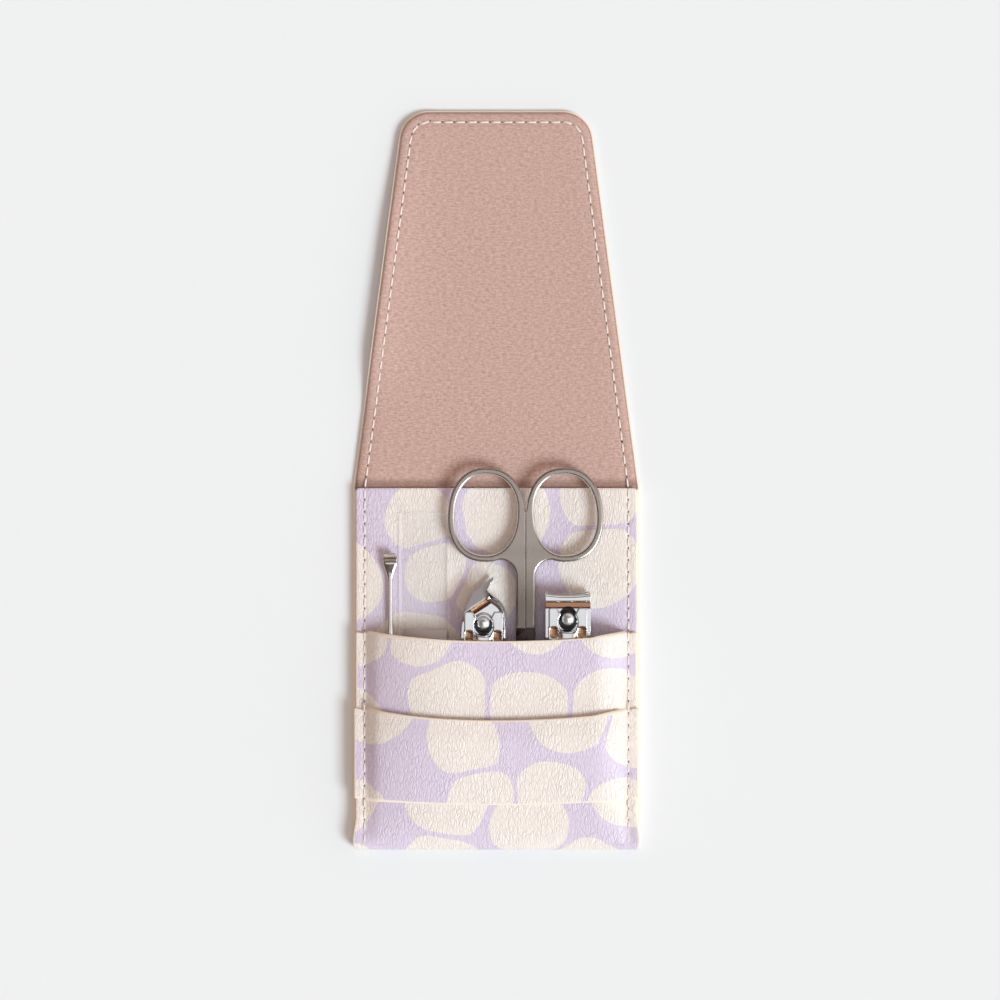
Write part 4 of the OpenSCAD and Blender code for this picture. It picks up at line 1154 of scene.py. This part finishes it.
plated = metal("plated", (0.86, 0.865, 0.88), 0.05, 0.05, (1.0, 1.0, 1.0), 0.6 * mm, 0.02)
# painted shade: the upper arm round the pin is coloured near black for the shade in the lever's fork
dull_plate = metal("dull_plate", (0.05, 0.045, 0.045), 0.35, 0.15, (1.0, 1.0, 1.0), 0.3 * mm, 0.2)
ground_face = metal("ground_face", (0.50, 0.485, 0.515), 0.40, 0.08, (0.3, 1.0, 1.0), 0.3 * mm, 0.05)
ground_face.node_tree.nodes["Principled BSDF"].inputs["Metallic"].default_value = 0.45
# painted reflection: the warm brown that the windows and recesses mirror is coloured into this plate
warm_plate = metal("warm_plate", (0.46, 0.25, 0.15), 0.16, 0.10, (1.0, 1.0, 1.0), 0.3 * mm, 0.1)
pin_steel = metal("pin_steel", (0.90, 0.89, 0.89), 0.38, 0.06, (1.0, 1.0, 1.0), 0.3 * mm, 0.05)
arm_t, arm_half, tail_r, rivet_y = 1.1, 7.0, 5.25, -44.35
window_x, window_y = 4.35, -4.2


def arc(x, y, radius, start, end, count=12):
    turns = np.radians(np.linspace(start, end, count))
    return [(x + radius * math.cos(t), y + radius * math.sin(t)) for t in turns]


def hole(x, y, radius):
    return np.array(arc(x, y, radius, 360, 360 / 32, 32))


def window(x, y, wide, long, radius=0.8):
    corners = [arc(x + sx * (wide / 2 - radius), y + sy * (long / 2 - radius), radius, turn, turn - 90, 5)
               for sx, sy, turn in ((1, 1, 90), (1, -1, 0), (-1, -1, -90), (-1, 1, -180))]
    return np.array(sum(corners, []))


def slope_of(height, x, y):
    return (height(x, y + 0.05) - height(x, y - 0.05)) / 0.1


def tail(front_left, front_right):
    """An arm's outline: its front edge between two sides that draw in to a round tail."""
    rear = arc(0, rivet_y, tail_r, 180, 360, 20)
    return np.array(front_left + [(-arm_half, -6), (-arm_half, -32)] + rear
                    + [(arm_half, -32), (arm_half, -6)] + front_right)


def upper_rise(y):
    return np.interp(y, [-49.6, -40.35, -2.0, 0.5, 3.0], [2.4, 2.4, 6.2, 6.33, 6.38])


def straight_lower(x, y):
    return 1.05 + 1.2 * softly((y - 5.2) / 3.1)


def straight_upper(x, y):
    """Level as far as the lip, which turns down along a line that follows the hollow edge."""
    along_lip = y + 0.55 * (1 - (x / 7) ** 2)
    return upper_rise(y) - 1.35 * np.clip((along_lip - 6.9) / 1.4, 0, 1) ** 1.5


def facet_run(x, y):
    """How far in front of the ground facet's rear edge a point of the pointed clipper is."""
    return (x - 0.87) * -0.551 + (y - 7.7) * 0.835


def pointed_lower(x, y):
    return 1.05 + 0.9 * np.clip((y - 7.5) / 6.4, 0, 1) ** 1.5


def pointed_upper(x, y):
    run = facet_run(x, y)
    return upper_rise(y) - 0.36 * np.where(run > 0.3, run, np.clip(run + 0.3, 0, 0.6) ** 2 / 1.2)


UPPER_RIM = [(2.95, 13.9), (2.97, 13.1), (1.9, 11.6), (1.15, 9.8), (1.5, 8.35), (2.6, 7.1), (4.2, 6.1),
             (5.5, 4.9), (6.35, 3.2), (6.7, -2), (6.8, -6)]
LOWER_RIM = [(2.95, 13.9), (2.97, 13.1), (1.9, 11.6), (1.35, 10.1), (1.77, 9.05), (2.98, 8.0), (4.5, 7.1),
             (5.8, 5.7), (6.6, 4.25), (7, 2.5), (7, -6)]
LEFT_EDGE = [(2.75, 14.0), (-3.3, 9.05), (-5.0, 5.9), (-5.9, 3.3), (-6.5, 0.5), (-6.9, -3)]
front_columns = np.arange(-7, 7.01, 0.35)
straight_front = [(x, -0.8 * (1 - (x / 7) ** 2)) for x in np.linspace(7, -7, 21)]

FRONTS = {
    ("straight", "lower"): (straight_lower, tail([(x, y + 8.4) for x, y in straight_front], []), None),
    ("straight", "upper"): (straight_upper, tail([(x, y + 8.2) for x, y in straight_front], []), None),
    ("pointed", "lower"): (pointed_lower, tail(LEFT_EDGE, LOWER_RIM[::-1]), LOWER_RIM),
    ("pointed", "upper"): (pointed_upper, tail(LEFT_EDGE, UPPER_RIM[::-1]), UPPER_RIM)}

LEVER_PROFILE = ([-43, -40, -30, -12, -6, -2, 1.5, 3.4], [4.2, 4.1, 5.05, 6.85, 7.45, 7.8, 7.95, 7.9])
SLOT = [(3.4, 3.4), (3.0, 3.1), (2.9, 2.6), (2.5, 2.1), (2.1, 1.55), (2.15, 1.1), (2.6, 0.4), (2.85, -0.2),
        (2.9, -1.5), (2.85, -2.7), (2.5, -3.3), (1.7, -3.65), (0, -3.78)]
slot_line = SLOT + [(-x, y) for x, y in SLOT[-2::-1]]
lever_outline = np.array([(5.4, 3.4)] + slot_line + [(-5.4, 3.4), (-5.85, 3.2), (-6, 2.7), (-6, -30)]
                         + arc(0, -38.6, 4.4, 180, 360, 14) + [(6, -30), (6, 2.7), (5.85, 3.2)])


def lever_top(x, y):
    """The lever's upper face: ears crowned a little, and a rib behind the fork between grooves."""
    middle = np.interp(y, *LEVER_PROFILE)
    behind = softly((-3.3 - y) / 1.2)
    rib = 0.5 * behind * np.sqrt(np.clip(1 - (x / 2.5) ** 2, 0, 1))
    groove = 0.22 * behind * np.exp(-((np.abs(x) - 3.0) / 0.35) ** 2)
    crown = 0.12 * (1 - behind) * (1 - ((np.abs(x) - 4.5) / 1.6) ** 2)
    return middle + 0.5 + rib - groove + crown


def lever_base(x, y):
    return np.interp(y, *LEVER_PROFILE) - 0.5


# in mm in front of the pin: the groove across the straight clipper's upper arm, and how wide the
# hollow is that runs behind the ground facet of the pointed one
groove_low, groove_high, facet_hollow = 3.2, 5.5, 2.4
# how far round the pin the painted shade reaches, and how much longer than wide it is
pin_pit, pit_oval = 2.95, 1.32
# the upper arm's hole has room for the pin when the arm is squeezed down
PIN_HOLES = {"lower": 1.56, "upper": 1.75}


def clipper_arm(kind, level, at):
    """One arm: dished round the pin, with raised rims. Where it isn't plated, its facet is ground, the shade
    round the pin is painted dark, and its recesses are painted the warm brown that they reflect.
    """
    height, outline, rim = FRONTS[kind, level]

    def thick(x, y):
        steep = np.hypot(1, slope_of(height, x, y))
        return (arm_t - 0.45 * softly((steep - 1.05) / 0.5)) * steep

    def top(x, y):
        face = height(x, y) + thick(x, y) / 2
        if level == "upper":
            face = face - 0.35 * (1 - softly((np.hypot(x, y) - 2.5) / 0.7))
            beside = np.clip(1 - np.abs(np.abs(x) - window_x) / 1.6, 0, 1)
            face = face - 0.3 * beside * softly(2 - np.abs(y - window_y))
            if not rim:
                face = face - 0.3 * softly((y - groove_low) / 0.4) * softly((groove_high - y) / 0.4)
        if rim:
            near = from_line(rim, x, y).reshape(np.shape(x))
            lift, reach = 0.45, 0.7
            if level == "lower":
                lift, reach = 0.8 * np.clip((14.2 - y) / 2.8, 0, 1), 0.6
            face = face + lift * np.exp(-(near / reach) ** 2)
            if level == "upper":
                run = facet_run(x, y)
                dip = 0.45 * np.sin(math.pi * run / facet_hollow) ** 2
                face = face - np.where((run < 0) & (run > -facet_hollow), dip, 0)
        return face

    def pick(x, y, z):
        if level == "lower":
            return np.zeros(len(x))
        over = z > height(x, y) + 0.05
        # painted shade round the pin, under the lever's fork
        pit = over & (np.hypot(x, y / pit_oval) < pin_pit) & ((kind == "straight") | (y < 0.9))
        facet = over & (facet_run(x, y) > 0.05) & (kind == "pointed")
        # painted reflection in the windows and recesses
        painted_reflection = over & (np.abs(np.abs(x) - window_x) < 1.4) & (np.abs(y - window_y) < 1.9)
        if kind == "straight":
            painted_reflection |= over & (y > groove_low + 0.1) & (y < groove_high - 0.2)
        else:
            run = facet_run(x, y)
            painted_reflection |= over & (run < -0.35) & (run > 0.1 - facet_hollow) & (from_line(rim, x, y) > 0.9)
        chosen = np.where(facet & (from_line(UPPER_RIM, x, y) > 0.75), 2, 0)
        return np.where(pit, 1, np.where(painted_reflection, 3, chosen))

    loops = [evenly(outline, 0.3), hole(0, 0, PIN_HOLES[level]), hole(0, rivet_y, 1.46)]
    return pressed_plate(
        "%s_%s_arm" % (kind, level), at, loops, top,
        lambda x, y: height(x, y) - thick(x, y) / 2,
        lambda x, y: np.full(len(x), 0.16), front_columns,
        np.concatenate([np.arange(-49, -9, 2.5), np.arange(-9, 14, 0.22)]),
        [plated, dull_plate, ground_face, warm_plate], pick)


for kind in ("straight", "pointed"):
    pin_low, pin_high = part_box(kind + "_pin")
    at = (*(((pin_low + pin_high) / 2).xy / mm), tool_z / mm)
    for level in ("lower", "upper"):
        stands_for(clipper_arm(kind, level, at), "%s_%s_jaw" % (kind, level))
    loops = [evenly(lever_outline, 0.25)]
    loops += [evenly(window(x, window_y, 2.4, 3.4), 0.2) for x in (-window_x, window_x)]
    lever = pressed_plate(kind + "_lever_plated", at, loops, lever_top, lever_base,
                          lambda x, y: np.full(len(x), 0.3), np.arange(-6, 6.01, 0.3),
                          np.concatenate([np.arange(-43, -9, 2.0), np.arange(-9, 3.4, 0.3)]), [plated])
    stands_for(lever, kind + "_lever")
    for part, finish in (("pin", pin_steel), ("rivet", plated)):
        node_name = kind + "_" + part
        small = rounded_copy(node_name, node_name + "_plated", finish, 0.12 * mm)
        stands_for(small, node_name)

# ---- The ear pick ----
# One bar of plated steel, drawn round, with its end hammered into a small bent scoop and its other
# end flat. It lies loose on the panel, and its flat end is deep in the pocket.

ear_steel = metal("ear_steel", (0.80, 0.74, 0.70), 0.15, 0.06, (1.0, 0.2, 1.0))
# along it from the scoop's rim: middle height, half width, half thickness, depth of the hollow
PICK_STATIONS = np.array([
    (0, 2.0, 1.75, 0.10, 0), (0.15, 1.9, 2.05, 0.22, 0.10), (0.6, 1.55, 2.22, 0.32, 0.30),
    (1.3, 1.1, 2.25, 0.36, 0.35), (2.2, 0.62, 2.25, 0.4, 0.25), (2.5, 0.8, 2.25, 0.42, 0.1),
    (2.8, 1.08, 2.22, 0.45, 0), (3.3, 1.1, 2.18, 0.45, 0), (4.2, 0.88, 1.9, 0.45, 0),
    (6.0, 0.42, 1.3, 0.5, 0), (7.6, 0.08, 0.85, 0.62, 0), (8.8, 0, 0.725, 0.725, 0),
    (21, 0, 0.725, 0.725, 0), (24, 0, 1.0, 1.0, 0), (62, 0, 1.0, 1.0, 0), (66, 0, 1.3, 0.4, 0),
    (80.6, 0, 1.3, 0.4, 0), (81, 0, 0.9, 0.25, 0)])
pick_low, pick_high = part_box("ear_pick")
pick_x, pick_top, pick_z = (pick_low.x + pick_high.x) / 2, pick_high.y, tool_z + 1.0 * mm
sides = 20
along = np.concatenate([[0, 0.05], np.arange(0.15, 9, 0.2), np.arange(9, 81, 1.0), [80.7, 80.9, 81]])
middle, wide, thick, hollow = (np.interp(along, PICK_STATIONS[:, 0], row) for row in PICK_STATIONS.T[1:])
turns = 2 * math.pi * (np.arange(sides) + 0.5) / sides
across = np.sign(np.cos(turns)) * np.abs(np.cos(turns)) ** 0.8
upward = np.sign(np.sin(turns)) * np.abs(np.sin(turns)) ** 0.8
dish = np.outer(hollow, (1 - across ** 2) * (upward > 0))
rings = np.stack([pick_x + np.outer(wide, across) * mm,
                  np.broadcast_to(pick_top - along[:, None] * mm, (len(along), sides)),
                  pick_z + (middle[:, None] + np.outer(thick, upward) - dish) * mm], -1)
last = (len(along) - 1) * sides
skin = [face[::-1] for face in ring_faces(0, len(along), sides)]
skin += [tuple(range(sides)), tuple(range(last + sides - 1, last - 1, -1))]
pick = loose_object("ear_pick_steel", rings.reshape(-1, 3).tolist(), skin)
pick.data.materials.append(ear_steel)
stands_for(pick, "ear_pick")

# ---- The nail file and its sleeve ----
# A flat steel file with both faces cut rough, slid into a sleeve of thin clear film. The film is
# welded down its left side, where it is milky, and its cut edges have a painted highlight.

file_metal = metal("file_metal", (0.82, 0.70, 0.65), 0.42, 0.16, (1.0, 1.0, 1.0), 0.35 * mm, 0.5)
stands_for(rounded_copy("nail_file", "nail_file_steel", file_metal, 0.1 * mm), "nail_file")

sleeve_low, sleeve_high = (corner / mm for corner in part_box("file_sleeve"))
film_t = 0.2
film, tree, shader = material("film", Roughness=0.14)
sockets_set(shader, {"Base Color": (0.93, 0.92, 0.92, 1), "Specular IOR Level": 0.35})
# it is clear but for a faint cloud, whiter at the weld, which is milky, and whiter along the cut right and
# top edges, where the whiteness is a painted highlight
opacity = eased(noise(tree, None, 260.0).outputs[0], 0.35, 0.7, 0.015, 0.05)
for key, from_mm, to_mm, milk_and_highlight in (
        ("Y", sleeve_high.y - 0.35, sleeve_high.y - 0.1, 0.12),
        ("X", sleeve_high.x - 0.28, sleeve_high.x - 0.05, 0.32),
        ("X", sleeve_low.x + 1.2, sleeve_low.x + 0.5, 0.24)):
    edge = eased(own_axes(tree)[key], from_mm * mm, to_mm * mm, 0.0, milk_and_highlight)
    opacity = maths("ADD", opacity, edge, clamp=True)
tree.links.new(opacity, shader.inputs["Alpha"])

# the cross-section: a flat tube with the weld as a rib along its left side
left, right, rise = sleeve_low.x, sleeve_high.x, sleeve_high.z - sleeve_low.z
outer_ring = [(left, 0), (right - 0.3, 0), (right, 0.3), (right, rise - 0.4), (right - 0.4, rise),
              (left + 2.6, rise), (left + 1.6, rise - 0.55), (left + 1.2, 0.45), (left, 0.35)]
inner_ring = [(left + 1.4, film_t), (right - 0.3, film_t), (right - film_t, 0.4),
              (right - film_t, rise - 0.45), (right - 0.45, rise - film_t), (left + 2.7, rise - film_t),
              (left + 1.8, rise - 0.7), (left + 1.5, 0.4), (left + 1.4, 0.3)]
stations = np.concatenate([spread(sleeve_high.y, sleeve_high.y - 2, 0.5), spread(sleeve_high.y - 4, -60, 3.0),
                           spread(-65, sleeve_low.y, 8.0)])
points, faces, count = [], [], len(outer_ring)
for ring, closed_end in ((outer_ring, sleeve_low.y), (inner_ring, sleeve_low.y + 0.4)):
    for y in stations:
        y = max(y, closed_end)
        for x, z in ring:
            wave = 0.10 * math.sin(0.35 * y + 0.5 * x) * (z > 0.6)
            points.append((x * mm, y * mm, tool_z + (z + wave) * mm))
size = len(stations) * count
for base, flip in ((0, 1), (size, -1)):
    faces += [face[::-flip] for face in ring_faces(base, len(stations), count)]
    last = base + size - count
    faces.append(tuple(range(last, last + count))[::-flip])
faces += [(k, k + size, (k + 1) % count + size, (k + 1) % count)[::-1] for k in range(count)]
sleeve = loose_object("file_sleeve_film", points, faces)
sleeve.data.materials.append(film)
sleeve.data.set_sharp_from_angle(angle=math.radians(30))
stands_for(sleeve, "file_sleeve")
